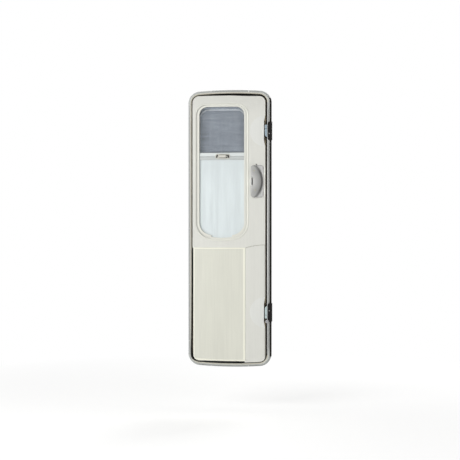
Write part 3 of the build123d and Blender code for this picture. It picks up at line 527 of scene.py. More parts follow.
def gap_shaded_laminate(node, shown, streaks, size):
    """Laminate with painted shade at its head, painted light beside the handle, and a black band of painted
    shade over one corner that widens the gap's dark.
    """
    finish = laminate(node, shown, streaks)
    x, z = finish.across("X"), finish.across("Z")
    edge = high(node)
    # Painted shade: darker towards the lining's head.
    finish.paint(shade(shown, 0.9), finish.spread(z, edge.z - 120 * MM, edge.z - 40 * MM) * 0.8)
    # Painted light: paler beside the handle's plate, against the plate's shadow.
    plate = "inside_handle_plate"
    beside = finish.spread(x, high(plate).x - 1 * MM, high(plate).x)
    level = finish.near(abs(finish.off_middle(plate, "Z")), span(plate).z / 2)
    finish.paint(shade(shown, 1.22), beside * level)
    # Painted shade: a black band in the rubber's colour over the latch-side corner, widening the dark gap
    # above it.
    flat_z = z + bow_fall(x, size.leaf_bow)
    past_x = finish.largest(x - edge.x + size.leaf_corner, 0.0)
    past_z = finish.largest(flat_z - edge.z + size.leaf_corner, 0.0)
    inside = size.leaf_corner - finish.root(past_x * past_x + past_z * past_z)
    start_z = edge.z - size.gap_shade_reach
    width = size.gap_shade_w * finish.spread(x, 0, size.gap_shade_run)
    width = width * finish.spread(z, start_z, start_z + size.leaf_corner)
    finish.paint(shade(colours().rubber, 1), finish.spread(width - inside, -SOFT, SOFT))
    return finish


def edge_shaded_laminate(node, shown, streaks, rim_w):
    """Laminate with painted shade along its latch-side edge, beside the gap."""
    finish = laminate(node, shown, streaks)
    # Painted shade: darker along the latch-side edge.
    finish.paint(shade(shown, 0.75), finish.rim(node, "+X", rim_w))
    return finish


def highlighted_laminate(name, node, shown, highlight_shown, streaks, size):
    """Laminate with a cream painted highlight along its rounded edges: wider on the latch side, and bowed
    along the foot.
    """
    finish = laminate(name, shown, streaks)
    highlight_w = size.cover_highlight
    foot = finish.across("Z") - bow_fall(finish.across("X"), size.opening_bow) - low(node).z
    # Painted highlight: cream where the rounded edges catch the light.
    edge = finish.largest(
        finish.rim(node, "-X", highlight_w),
        finish.rim(node, "+X", highlight_w * 1.8),
        finish.rim(node, "+Z", highlight_w),
        finish.near(foot, highlight_w * 1.2),
    )
    finish.paint(shade(highlight_shown, 1), edge)
    return finish


def moulding(name, shown, gloss, shine=0.4):
    """Moulded plastic with a faint orange peel."""
    finish = Finish(name, specular_ior_level=shine)
    finish.paint(finish.tones(finish.cloud(9, detail=2), shown, 0.965, 1.03))
    finish.peel(gloss)
    return finish


def infill_plastic(name, shown, dark, size):
    """Cream plastic with a black inner edge of painted shade that widens the gap's dark: broad at the hinge
    side's foot and absent above its middle.
    """
    finish = moulding(name, shown, gloss=0.45)
    # Painted shade: the inner edge turns black where it borders the shaded gap.
    broad = finish.hinge_side(-240, -200) * (1 - finish.above(100, 550)) * size.infill_shade_broad
    edge_y = LIP_Y + size.infill_shade_depth
    deep = finish.spread(finish.across("Y") + broad, edge_y, edge_y + 1 * MM)
    unshaded = finish.above_divide() * finish.hinge_side(-150, -50)
    finish.paint(shade(dark, 1), deep * (1 - unshaded))
    return finish


def lined_plastic(name, node, shown, line_w):
    """Moulded plastic with a dark line along its upper and lower edges."""
    finish = Finish(name, specular_ior_level=0.35)
    line = finish.largest(finish.rim(node, "+Z", line_w), finish.rim(node, "-Z", line_w))
    finish.paint(finish.tones(line, shown, 1, 0.42))
    finish.peel(0.36)
    return finish


def ring_plastic(node, shown, size):
    """Moulded plastic with painted shade in the ring's channel, mostly on the hinge side, painted shade on
    the hinge side's rim and a painted highlight on the latch side's rim.
    """
    finish = Finish(node, specular_ior_level=0.3)
    # Painted shade on the hinge side's rim, and a painted highlight on the latch side's rim.
    finish.paint(finish.tones(finish.rim(node, "-X", size.painted_light_rim), shown, 1, 0.85))
    finish.paint(shade(shown, 1.2), finish.rim(node, "+X", size.painted_light_rim))
    # Painted shade: the channel darkens with depth, mostly on the hinge side.
    rim_y = low(node).y + size.bead_t
    deep = finish.spread(finish.across("Y"), rim_y, rim_y + size.channel_d)
    channel_shade = deep * (0.1 + finish.hinge_side(-130, -60, WINDOW_X) * 0.9)
    finish.paint(shade(shown, 0.5), channel_shade)
    finish.peel(0.36)
    return finish


def drawn_metal(name, shown, metallic, gloss):
    """Metal with fine lines along its length."""
    finish = Finish(name, metallic=metallic)
    tone = finish.lines(gloss) * 0.5 + finish.cloud(14, (1, 1, 0.4)) * 0.5
    finish.paint(finish.tones(tone, shown, 0.92, 1.06))
    return finish


def end_shaded_metal(name, shown, reach):
    """Metal with fine lines along it, with painted shade towards both ends."""
    finish = Finish(name, metallic=0.1)
    finish.lines(0.4)
    # Painted shade: darker towards both ends of the strip.
    end = finish.spread(abs(finish.across("Z") - MID_Z), reach * 0.25, reach)
    finish.paint(finish.tones(end, shown, 1.08, 0.7))
    return finish


def frame_metal(name, shown, bend_z, seam_x, seam_w):
    """Painted section: fine lines along it, painted light round the rails and bent ends, strongest at the
    latch side's corners, with a pale seam in the top rail.
    """
    finish = drawn_metal(name, shown, metallic=0.1, gloss=0.4)
    up = finish.across("Z") - MID_Z
    # Painted light: paler over the rails and bent ends, more so at the latch side's corners.
    bent = finish.spread(abs(up), bend_z - 60 * MM, bend_z)
    finish.paint(finish.tones(finish.latch_side(180, 225), shown, 1.22, 1.6), bent)
    seam = finish.near(abs(finish.across("X") - seam_x), seam_w) * finish.spread(up, 0, bend_z)
    finish.paint(shade(shown, 1.9), seam)
    return finish


def soft_rubber(name, shown):
    """Dull rubber with a dusty bloom."""
    finish = Finish(name, specular_ior_level=0.15)
    finish.paint(finish.tones(finish.dust(0.45), shown, 1, 1.7))
    return finish


def gap_lit_rubber(name, shown, gap_light):
    """Rubber with painted light where it shows in the shaded gap: on the hinge side above the dividing line,
    low on the hinge side and along the latch side.
    """
    finish = Finish(name, specular_ior_level=0.15)
    # Painted light: the latch side is lifted from black so the gap there is less dark.
    finish.paint(finish.blend(finish.latch_side(190, 220), shade(shown, 1), shade(gap_light, 0.2)))
    hinge_side = finish.hinge_side(-200, -80)
    # Painted light: a pale patch low on the hinge side's inner edge.
    inner = finish.latch_side(-243.5, -240.5) * hinge_side
    finish.paint(shade(gap_light, 3.0), inner * (1 - finish.above(100, 500)) * finish.above(70, 100))
    # Painted light over the hinge side above the dividing line, less towards its head, broken up by the dust
    # pattern.
    head = finish.spread(finish.across("Z"), MID_Z + 660 * MM, MID_Z + 720 * MM)
    fade = finish.above_divide() * (1 - 0.6 * head) * hinge_side
    finish.paint(shade(gap_light, 0.85), fade * (0.8 + finish.dust(0.3) * 0.2))
    return finish


def edge_board(name, shown):
    """Board with a rough grain along it."""
    finish = Finish(name, specular_ior_level=0.3)
    grain = finish.cloud(420, (1, 1, 0.05), 5, 0.65)
    finish.paint(finish.tones(grain, shown, 0.75, 1.2))
    finish.surface(grain, 0.6, 0.2, 0.12)
    return finish


def shade_blackened_board(name, shown):
    """Board painted black below the dividing line, along its lower end and the lower half of its hinge side:
    painted shade that keeps the gap beside it dark.
    """
    finish = edge_board(name, shown)
    # Painted shade: black below the dividing line, away from the latch side.
    finish.paint(shade(shown, 0.05), (1 - finish.above_divide()) * finish.hinge_side(140, 200))
    return finish


def painted_sheet(name, shown):
    """Painted sheet, lightly embossed all over."""
    finish = Finish(name, coat_weight=0.25, coat_roughness=0.2)
    inputs = {"Vector": finish.place(), "Scale": 260}
    dimple = finish.node("ShaderNodeTexVoronoi", {"feature": "SMOOTH_F1"}, inputs)
    patch = finish.cloud(5, detail=2)
    finish.paint(finish.tones(patch, shown, 0.965, 1.02))
    finish.feed("Roughness", 0.34 + patch * 0.1)
    finish.bump(dimple, 0.16, 0.6)
    return finish


def plated(name, shown, split_z, split_w):
    """Bright plating with faint marks, and a dark split at one level."""
    finish = Finish(name, metallic=1.0)
    mark = finish.spread(finish.cloud(900, (1, 1, 0.2), 4), 0.5, 0.8)
    # The shown colour carries a painted reflection: blue on the upper striker, a pale highlight on the
    # lower.
    finish.paint(finish.tones(mark, shown, 1, 0.8))
    finish.paint(shade(shown, 0.3), finish.near(abs(finish.across("Z") - split_z), split_w))
    finish.feed("Roughness", 0.16 + mark * 0.14)
    return finish


def plated_lock(name, node, shown):
    """Bright plating with the shade of its keyway slot painted black."""
    finish = Finish(name, metallic=1.0)
    x, z = finish.off_middle(node, "X"), finish.off_middle(node, "Z")
    # Painted shade: the slot is painted near black.
    keyway = finish.near(abs(x), 1.3 * MM) * finish.near(abs(z), 5 * MM)
    finish.paint(finish.blend(keyway, shade(shown, 1.2), (0.01, 0.01, 0.01, 1)))
    finish.feed("Roughness", 0.18 + finish.cloud(900) * 0.12)
    return finish


def roller_plastic(name, shown, centre, pin_r):
    """Grey plastic with a dark pin in its middle."""
    finish = Finish(name, specular_ior_level=0.35)
    x, z = finish.across("X") - centre.x, finish.across("Z") - centre.z
    pin = finish.near(finish.root(x * x + z * z), pin_r)
    finish.paint(finish.tones(pin, shown, 1, 0.05))
    finish.peel(0.4)
    return finish


def tinted_pane(name, shown):
    """Smoked pane with faint dust."""
    finish = Finish(name, alpha=0.78, ior=1.49)
    dust = finish.cloud(30, detail=4)
    finish.paint(finish.tones(dust, shown, 0.9, 1.1))
    finish.feed("Roughness", 0.06 + dust * 0.06)
    return finish


def screen_mesh(name, shown, pitch):
    """Woven mesh with holes between its threads: painted shade at its sides, its foot and under its head,
    and a painted highlight near its head.
    """
    finish = Finish(name, roughness=0.75, specular_ior_level=0.2)
    crown = finish.largest(finish.thread("X", pitch), finish.thread("Z", pitch))
    slub = finish.cloud(160, (0.10, 1, 1))
    band = finish.cloud(26, (0.22, 1, 1), 2)
    row = finish.cloud(78, (0.08, 1, 1), 1)
    column = finish.cloud(78, (1, 1, 0.08), 1)
    weave = slub * 0.3 + band * 0.2 + row * 0.3 + column * 0.2
    # Painted shade at the sides, the foot and under the head, and painted light on a line near the head.
    side = finish.spread(abs(finish.across("X") - WINDOW_X - 12 * MM), 85 * MM, 135 * MM)
    foot = finish.rim("flyscreen", "-Z", 9 * MM)
    drop = high("pane_trim").z - finish.across("Z")
    head = finish.near(abs(drop - 22 * MM), 9 * MM)
    dark = finish.largest(side * 0.7, foot * 0.9, head * 0.45)
    lit = finish.near(abs(drop - 6 * MM), 8 * MM) * 0.8 * finish.latch_side(-80, -50, WINDOW_X)
    tone = finish.spread(weave, 0.38, 0.62) + lit - dark
    finish.paint(finish.tones(finish.spread(tone, -0.7, 2), shown, 0.5, 1.53))
    finish.feed("Alpha", finish.spread(crown, 0.74, 0.82))
    finish.bump(crown, 0.15)
    return finish


def woven_cloth(name, shown, pitch):
    """Pale cloth with a fine plain weave and soft upright streaks, with painted shade just below the bar."""
    finish = Finish(name, specular_ior_level=0.15, sheen_weight=0.1)
    weave = finish.thread("X", pitch) * finish.thread("Z", pitch)
    streak = finish.spread(finish.cloud(33, (1, 1, 0.09)), 0.34, 0.66)
    tone = streak * 0.6 + finish.cloud(20, (1, 1, 0.3)) * 0.3 + weave * 0.10
    finish.paint(finish.tones(tone, shown, 0.90, 1.06))
    # Painted shade: darker just below the bar, where its shadow falls.
    clear = finish.spread(low("blind_bar").z - finish.across("Z"), 0, 160 * MM)
    finish.paint(shade(shown, 0.92), 0.6 - clear * 0.6)
    finish.surface(weave, 0.7, 0.1, 0.05)
    return finish


def handle_plastic(name, shown):
    """Grey moulded plastic with a fine spark texture."""
    finish = Finish(name, specular_ior_level=0.4)
    finish.paint(finish.tones(finish.cloud(22), shown, 0.93, 1.05))
    finish.spark()
    return finish


def lever_plastic(name, node, shown):
    """Grey moulded plastic with painted light on its crown and painted shade that deepens towards its arc,
    less at its ends and straight edge.
    """
    finish = Finish(name, specular_ior_level=0.4)
    half_h = span(node).z / 2
    # Painted light and shade: pale on the crown, darker with depth towards the arc, less so at the ends and
    # the straight left edge.
    deep = finish.root(finish.spread(finish.across("Y"), low(node).y, high(node).y - 4 * MM))
    end = finish.spread(abs(finish.off_middle(node, "Z")), half_h * 0.55, half_h * 0.9)
    left = 1 - finish.spread(finish.across("X") - low(node).x, 6 * MM, 14 * MM)
    finish.paint(shade(shown, 1.5))
    finish.paint(finish.tones(finish.largest(end, left), shown, 0.26, 0.8), deep)
    finish.spark()
    return finish


def plate_plastic(name, node, shown, size):
    """Grey moulded plastic with painted shade along its rim, painted light beside the lever against its
    shadow, and painted light in the lever's slot with painted shade on the raised lug.
    """
    finish = Finish(name, specular_ior_level=0.4)
    # Painted shade along the rim.
    rim = finish.largest(*(finish.rim(node, side, size.plate_shade_rim) for side in ("+X", "+Z", "-Z")))
    finish.paint(finish.tones(rim, shown, 1, 0.68))
    level = abs(finish.off_middle(node, "Z"))
    # Painted light beside the lever, against the lever's shadow.
    beside = finish.rim(node, "+X", 14 * MM) * (1 - finish.spread(level, 30 * MM, 75 * MM))
    finish.paint(shade(shown, 1.45), beside)
    # Painted light in the lever's slot, and painted shade on the raised lug's face.
    raised = 1 - finish.spread(finish.across("Y") - low(node).y, 1 * MM, 3 * MM)
    slot_light_and_shade = finish.rim(node, "-X", size.slot_w) * finish.near(level, size.slot_h / 2)
    finish.paint(finish.tones(raised, shown, 1.75, 0.72), slot_light_and_shade)
    finish.spark()
    return finish


def dress(finish, *nodes):
    """Gives CAD nodes a finish."""
    for name in nodes:
        materials = NODES[name].data.materials
        materials.clear()
        materials.append(finish.material)


# Modelling by hand


def leave_edit():
    """Back to object mode, with nothing selected."""
    if bpy.context.object and bpy.context.object.mode != "OBJECT":
        bpy.ops.object.mode_set(mode="OBJECT")
    bpy.ops.object.select_all(action="DESELECT")


def start_on(piece):
    """Makes a piece the one that the next operators act on."""
    leave_edit()
    piece.select_set(True)
    bpy.context.view_layer.objects.active = piece


def apply_place(piece):
    """Puts a piece's place, turn and scale into its mesh."""
    start_on(piece)
    bpy.ops.object.transform_apply(location=True, rotation=True, scale=True)


def pick(piece, test):
    """Selects the faces that pass a test of their middle and normal, and opens edit mode there."""
    start_on(piece)
    bpy.ops.object.mode_set(mode="EDIT")
    bpy.ops.mesh.select_mode(type="FACE")
    bpy.ops.mesh.select_all(action="DESELECT")
    bpy.ops.object.mode_set(mode="OBJECT")
    for face in piece.data.polygons:
        face.select = test(face.center, face.normal)
    bpy.ops.object.mode_set(mode="EDIT")


def facing(direction):
    """A test for faces that look one way."""
    return lambda centre, normal: normal.dot(direction) > 0.9


def extrude(*offset):
    """Extrudes what is selected."""
    bpy.ops.mesh.extrude_region_move(TRANSFORM_OT_translate={"value": offset})


def cut_off(centre, away):
    """Cuts off what lies past a plane of the mesh in edit mode, and selects the rest."""
    bpy.ops.mesh.select_all(action="SELECT")
    bpy.ops.mesh.bisect(plane_co=centre, plane_no=away, clear_outer=True)
    bpy.ops.mesh.select_all(action="SELECT")


def sweep(turn, centre, steps):
    """Carries the selected end round a centre, clockwise as seen from the room."""
    bpy.ops.mesh.spin(steps=steps, angle=-turn, center=centre, axis=(0, 1, 0))


def apply_modifier(piece, kind, **settings):
    """Adds a modifier and applies it."""
    start_on(piece)
    added = piece.modifiers.new(kind.title(), kind)
    for name, value in settings.items():
        setattr(added, name, value)
    bpy.ops.object.modifier_apply(modifier=added.name)


def tidy_mesh(piece, smooth=35):
    """Merges doubles, turns the faces outwards and smooths the edges below an angle in degrees."""
    apply_place(piece)
    bpy.ops.object.mode_set(mode="EDIT")
    bpy.ops.mesh.select_all(action="SELECT")
    bpy.ops.mesh.remove_doubles(threshold=TINY / 10)
    bpy.ops.mesh.normals_make_consistent(inside=False)
    bpy.ops.object.mode_set(mode="OBJECT")
    bpy.ops.object.shade_smooth_by_angle(angle=radians(smooth))


def settle(piece, name, body, finish):
    """Names a finished piece, gives it its finish and lets it ride on a body."""
    leave_edit()
    piece.name = name
    piece.data.name = name
    piece.data.materials.clear()
    piece.data.materials.append(finish.material)
    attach(piece, body)


def copy_to(model, place, look):
    """A copy of a small piece with its own mesh, moved to its place and turned to look one way."""
    twin = model.copy()
    twin.data = model.data.copy()
    bpy.context.collection.objects.link(twin)
    turn = ROOM.rotation_difference(look).to_matrix().to_4x4()
    twin.data.transform(Matrix.Translation(place) @ turn)
    return twin


def on_surface(node, x, z, look):
    """The point and the normal of a node's face at a place, looked at from one side."""
    hit, point, normal, _ = NODES[node].ray_cast(Vector((x, 0, z)) + look, -look)
    if not hit:
        raise RuntimeError(f"{node} has no face at {x:.3f}, {z:.3f}")
    return point, normal


def remove(piece):
    leave_edit()
    bpy.data.objects.remove(piece, do_unlink=True)


def section(vertices, radius, centre, fill="NOTHING", turn=(0, 0, 0)):
    """A circle in edit mode, as the start of a strip's section."""
    leave_edit()
    bpy.ops.mesh.primitive_circle_add(
        vertices=vertices, radius=radius, fill_type=fill, location=centre, rotation=turn
    )
    made = bpy.context.object
    apply_place(made)
    bpy.ops.object.mode_set(mode="EDIT")
    return made


def disc(vertices, radius, depth, centre):
    """A disc that faces the room."""
    leave_edit()
    bpy.ops.mesh.primitive_cylinder_add(
        vertices=vertices, radius=radius, depth=depth, location=centre, rotation=(pi / 2, 0, 0)
    )
    made = bpy.context.object
    tidy_mesh(made)
    return made


def pan_screw(radius, height):
    """A pan head screw at the origin, facing the room, with a cross recess."""
    head = disc(vertices=24, radius=radius, depth=height, centre=(0, -height / 2, 0))
    pick(head, facing(ROOM))
    bpy.ops.mesh.bevel(offset=height * 0.45, segments=3, profile=0.6, affect="EDGES")
    leave_edit()
    long, wide, deep = 0.62 * radius, 0.13 * radius, 0.55 * height
    for scale in ((long, deep, wide), (wide, deep, long)):
        bpy.ops.mesh.primitive_cube_add(size=2, location=(0, -height, 0))
        cutter = bpy.context.object
        cutter.scale = scale
        tidy_mesh(cutter)
        apply_modifier(head, "BOOLEAN", operation="DIFFERENCE", solver="EXACT", object=cutter)
        remove(cutter)
    tidy_mesh(head)
    return head


def fit_screws(node, model, places, look, body, finish):
    """Copies of one screw on a node's face at several places across and up."""
    for index, (x, z) in enumerate(places, 1):
        point, normal = on_surface(node, x, z, look)
        settle(copy_to(model, point, normal), f"{node}_screw_{index}", body, finish)


# Outlines


def bowed_end(half_w, reach, corner_r, bow_r):
    """The bow's centre, the corner's centre and the angle at which the bow meets the corner."""
    bow_z = reach - bow_r
    corner_x = half_w - corner_r
    corner_z = bow_z + sqrt((bow_r - corner_r) ** 2 - corner_x**2)
    return bow_z, (corner_x, corner_z), atan2(corner_x, corner_z - bow_z)


def edge_reach(x, half_w, reach, corner_r, bow_r):
    """How far an outline's end reaches at a distance across it."""
    bow_z, (corner_x, corner_z), meet = bowed_end(half_w, reach, corner_r, bow_r)
    across = min(abs(x), half_w)
    if across <= bow_r * sin(meet):
        return bow_z + sqrt(bow_r**2 - across**2)
    return corner_z + sqrt(max(corner_r**2 - (across - corner_x) ** 2, 0))


def opening_end(size):
    """The bow and the corner of the frame's opening, shared by all that follows it."""
    return bowed_end(size.opening_half_w, size.opening_half_h, size.opening_corner, size.opening_bow)


class DOOR_OT_frame(bpy.types.Operator):
    """Finishes the frame, lays the infill along its lip, and lays a black gasket on the latch side's flange
    that also stands in for the shadow there
    """

    bl_idname = "door.frame"
    bl_label = "Frame"

    def execute(self, context):
        shown, size = colours(), sizes()
        bend_z = opening_end(size)[1][1]
        metal = frame_metal("frame_aluminium", shown.frame_metal, bend_z, size.seam_x, size.seam_w)
        dress(metal, "frame_top_rail", "frame_bottom_rail", "frame_hinge_stile", "frame_latch_stile")
        infill = self.infill(size)
        strip = self.part_latch_side(infill, bend_z)
        for piece in (infill, strip):
            apply_modifier(piece, "SOLIDIFY", thickness=size.infill_wall, offset=-1)
            tidy_mesh(piece)
        finish = infill_plastic("lip_infill", shown.infill, shown.rubber, size)
        settle(infill, "frame_lip_infill", FRAME_BODY, finish)
        finish = end_shaded_metal("lip_strip", shown.lip_strip, bend_z)
        settle(strip, "frame_latch_lip_strip", FRAME_BODY, finish)
        # The black gasket lies on the latch side only, where it also stands in for the flange's shadow.
        gasket = self.gasket(size)
        settle(gasket, "frame_gasket", FRAME_BODY, soft_rubber("gasket", shown.gasket))
        return {"FINISHED"}

    def infill(self, size):
        """A shell over the lip's inner half: a quarter circle carried round the opening."""
        bow_z, (corner_x, corner_z), meet = opening_end(size)
        centre = Vector((0, LIP_Y + size.lip_round, MID_Z + size.opening_half_h + size.lip_round))
        radius = size.lip_round + size.infill_t
        shell = section(vertices=48, radius=radius, centre=centre, turn=(0, pi / 2, 0))
        cut_off(centre, (0, 1, 0))
        cut_off(centre, (0, 0, 1))
        sweep(meet, (0, 0, MID_Z + bow_z), steps=10)
        sweep(pi / 2 - meet, (corner_x, 0, MID_Z + corner_z), steps=16)
        extrude(0, 0, -2 * corner_z)
        sweep(pi / 2 - meet, (corner_x, 0, MID_Z - corner_z), steps=16)
        sweep(meet, (0, 0, MID_Z - bow_z), steps=10)
        apply_modifier(shell, "MIRROR", use_clip=True, merge_threshold=TINY)
        tidy_mesh(shell)
        return shell

    def part_latch_side(self, shell, bend_z):
        """Parts the straight stretch on the latch side from the rest of the infill."""
        pick(shell, lambda centre, normal: centre.x > 0 and abs(centre.z - MID_Z) < bend_z)
        bpy.ops.mesh.separate(type="SELECTED")
        leave_edit()
        return next(piece for piece in bpy.data.objects if piece.name.startswith(f"{shell.name}."))

    def gasket(self, size):
        """A half round black strip down the latch side's flange, carried a little way round both corners: a
        gasket that also stands in for the shadow on that flange.
        """
        corner_x, corner_z = opening_end(size)[1]
        out = size.opening_corner + size.flange_out + size.gasket_out - size.gasket_w / 2
        start = Vector((corner_x + out, 0, MID_Z + corner_z))
        strip = section(vertices=24, radius=size.gasket_w / 2, centre=start, fill="NGON")
        cut_off(start, (0, 1, 0))
        flat = 2 * size.gasket_t / size.gasket_w
        bpy.ops.transform.resize(value=(1, flat, 1), center_override=start)
        extrude(0, 0, -2 * corner_z)
        sweep(size.gasket_foot, (corner_x, 0, MID_Z - corner_z), steps=6)
        pick(strip, lambda centre, normal: abs(centre.z - start.z) < TINY)
        sweep(-size.gasket_top, (corner_x, 0, MID_Z + corner_z), steps=8)
        tidy_mesh(strip)
        return strip


class DOOR_OT_leaf(bpy.types.Operator):
    """Finishes the leaf: linings, lower panel, latch bosses, edge, skin and seals"""

    bl_idname = "door.leaf"
    bl_label = "Leaf"

    def execute(self, context):
        shown, size = colours(), sizes()
        upper, lower, cover = "upper_lining", "lower_lining", "lower_cover_panel"
        dress(gap_shaded_laminate(upper, shown.lining, LINING_STREAKS, size), upper)
        dress(edge_shaded_laminate(lower, shown.lining, LINING_STREAKS, size.painted_light_rim), lower)
        dress(laminate("latch_boss", shown.boss, LINING_STREAKS), "upper_latch_boss", "lower_latch_boss")
        highlighted = highlighted_laminate("cover_panel", cover, shown.cover, shown.cover_highlight, COVER_STREAKS, size)
        dress(highlighted, cover)
        dress(shade_blackened_board("edge_band", shown.edge_band), "leaf_edge_band")
        core = edge_board("core", shown.core)
        dress(core, "leaf_top_rail", "leaf_hinge_stile", "leaf_latch_stile", "leaf_lower_core")
        dress(painted_sheet("white_skin", shown.skin), "outer_skin")
        dress(gap_lit_rubber("leaf_seal", shown.rubber, shown.core), "leaf_seal")
        dress(soft_rubber("pane_seal", shown.rubber), "pane_seal")
        return {"FINISHED"}


class DOOR_OT_window(bpy.types.Operator):
    """Finishes the window's ring, guides, liner, pane and trim"""

    bl_idname = "door.window"
    bl_label = "Window"

    def execute(self, context):
        shown = colours()
        dress(ring_plastic("window_ring", shown.ring, sizes()), "window_ring")
        dress(moulding("window_liner", shown.ring, gloss=0.34), "blind_guide", "window_liner")
        dress(moulding("pane_trim", shown.pane_trim, gloss=0.40), "pane_trim")
        dress(tinted_pane("pane", shown.pane), "window_pane")
        return {"FINISHED"}


class DOOR_OT_flyscreen(bpy.types.Operator):
    """Stretches the flyscreen over the upper part of the window"""

    bl_idname = "door.flyscreen"
    bl_label = "Flyscreen"

    def execute(self, context):
        size = sizes()
        screen = stretched_cloth(size, low("flyscreen").z, upwards=True)
        finish = screen_mesh("flyscreen", colours().thread, size.mesh_pitch)
        settle(screen, "flyscreen_mesh", LEAF_BODY, finish)
        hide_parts("flyscreen")
        return {"FINISHED"}


class DOOR_OT_blind(bpy.types.Operator):
    """Stretches the blind's cloth over the lower part of the window"""

    bl_idname = "door.blind"
    bl_label = "Blind"

    def execute(self, context):
        size = sizes()
        bar_z = high("blind_fabric").z
        blind = stretched_cloth(size, bar_z, upwards=False)
        drop = bar_z - low("blind_fabric").z
        for vertex in blind.data.vertices:
            vertex.co.y += self.fold(size, vertex.co.x - WINDOW_X, (bar_z - vertex.co.z) / drop)
        apply_modifier(blind, "SOLIDIFY", thickness=size.cloth_t, offset=0)
        tidy_mesh(blind, smooth=60)
        finish = woven_cloth("blind_cloth", colours().blind, size.blind_pitch)
        settle(blind, "blind_cloth", LEAF_BODY, finish)
        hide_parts("blind_fabric")
        return {"FINISHED"}

    def fold(self, size, across, down):
        """Soft upright folds that lean a little, and fade at the sides and at both ends."""
        half_w = (PANE[1].x - PANE[0].x) / 2 - size.pane_lap
        fade = max(0.0, 1 - (across / half_w) ** 4) * min(1.0, down * 8) * min(1.0, (1 - down) * 5)
        lean = across + size.fold_lean * sin(down * 4.2)
        broad = sin(2 * pi * lean / size.fold_broad + 0.6)
        narrow = 0.45 * sin(2 * pi * lean / size.fold_narrow + 1.9 + down)
        return size.fold_d * fade * (broad + narrow)


def stretched_cloth(size, bar_z, upwards):
    """A sheet from the bar to the window's upper or lower edge, cut to the edge's curve."""
    leave_edit()
    half_w = (PANE[1].x - PANE[0].x) / 2 - size.pane_lap + size.cloth_lap
    reach = (PANE[1].z - PANE[0].z) / 2 - size.pane_lap + size.cloth_lap
    centre_z = (PANE[1].z + PANE[0].z) / 2
    corner_r = (size.sight_top_corner if upwards else size.sight_foot_corner) + size.cloth_lap
    bow_r = (size.sight_top_bow if upwards else size.sight_foot_bow) + size.cloth_lap
    cloth_y = middle("flyscreen").y
    bpy.ops.mesh.primitive_grid_add(
        x_subdivisions=size.cloth_columns, y_subdivisions=size.cloth_rows, size=2, rotation=(pi / 2, 0, 0)
    )
    cloth = bpy.context.object
    apply_place(cloth)
    side = 1 if upwards else -1
    for vertex in cloth.data.vertices:
        across = half_w * sin(vertex.co.x * pi / 2)
        share = (vertex.co.z * side + 1) / 2
        edge_z = centre_z + side * edge_reach(across, half_w, reach, corner_r, bow_r)
        vertex.co = (WINDOW_X + across, cloth_y, bar_z + (edge_z - bar_z) * share)
    return cloth


class DOOR_OT_blind_bars(bpy.types.Operator):
    """Finishes the two bars that meet across the window, and their catch"""

    bl_idname = "door.blind_bars"
    bl_label = "Blind bars"

    def execute(self, context):
        shown, size = colours(), sizes()
        thumb = "blind_catch_thumb"
        dress(moulding("bar_light", shown.bar_light, gloss=0.3), "screen_bar")
        dress(lined_plastic("catch_thumb", thumb, shown.catch_thumb, size.thumb_line), thumb)
        dress(moulding("bar_grey", shown.bar_grey, gloss=0.34), "blind_bar")
        dress(moulding("catch_grey", shown.catch, gloss=0.36), "blind_catch_plate")
        # Painted shadow: the hooks are black where the catch's ends show shadowed gaps.
        hooks = ("blind_catch_left_hook", "blind_catch_right_hook")
        dress(moulding("catch_dark", shown.keeper, gloss=0.4), *hooks)
        return {"FINISHED"}


class DOOR_OT_handles(bpy.types.Operator):
    """Finishes the handles and adds their screws and caps"""

    bl_idname = "door.handles"
    bl_label = "Handles"

    def execute(self, context):
        shown, size = colours(), sizes()
        lever, inside, outside = "inside_handle_lever", "inside_handle_plate", "outside_handle_plate"
        dress(lever_plastic("handle_grey", lever, shown.handle), lever)
        dress(plate_plastic("handle_plate", inside, shown.handle_plate, size), inside)
        dress(handle_plastic("lock_button", shade_shown(shown.handle, 0.45)), "lock_button")
        dress(handle_plastic("outside_handle", shown.outside_handle), outside, "outside_handle_grip")
        dress(plated_lock("lock_chrome", "lock_cylinder", shown.chrome), "lock_cylinder")
        cap = self.cap(size)
        finish = moulding("lever_cap", shown.cap, gloss=0.45)
        for index, (share_x, share_z) in enumerate(CAP_PLACES, 1):
            x = low(lever).x + share_x * span(lever).x
            z = low(lever).z + share_z * span(lever).z
            point, normal = on_surface(lever, x, z, ROOM)
            settle(copy_to(cap, point, normal), f"lever_cap_{index}", LEVER_BODY, finish)
        remove(cap)
        screw = pan_screw(size.screw_r, size.screw_t)
        steel = drawn_metal("handle_screw", shown.steel, metallic=0.9, gloss=0.34)
        across = (low(outside).x + size.screw_in, high(outside).x - size.screw_in)
        up = (low(outside).z + size.screw_in, high(outside).z - size.screw_in)
        places = [(x, z) for x in across for z in up]
        fit_screws(outside, screw, places, OUTDOORS, LEAF_BODY, steel)
        remove(screw)
        return {"FINISHED"}

    def cap(self, size):
        """A low round cap at the origin that faces the room."""
        cap = disc(vertices=32, radius=size.cap_r, depth=2 * size.cap_t, centre=(0, 0, 0))
        pick(cap, facing(ROOM))
        bpy.ops.mesh.bevel(offset=size.cap_t * 0.8, segments=4, profile=0.5, affect="EDGES")
        tidy_mesh(cap)
        return cap


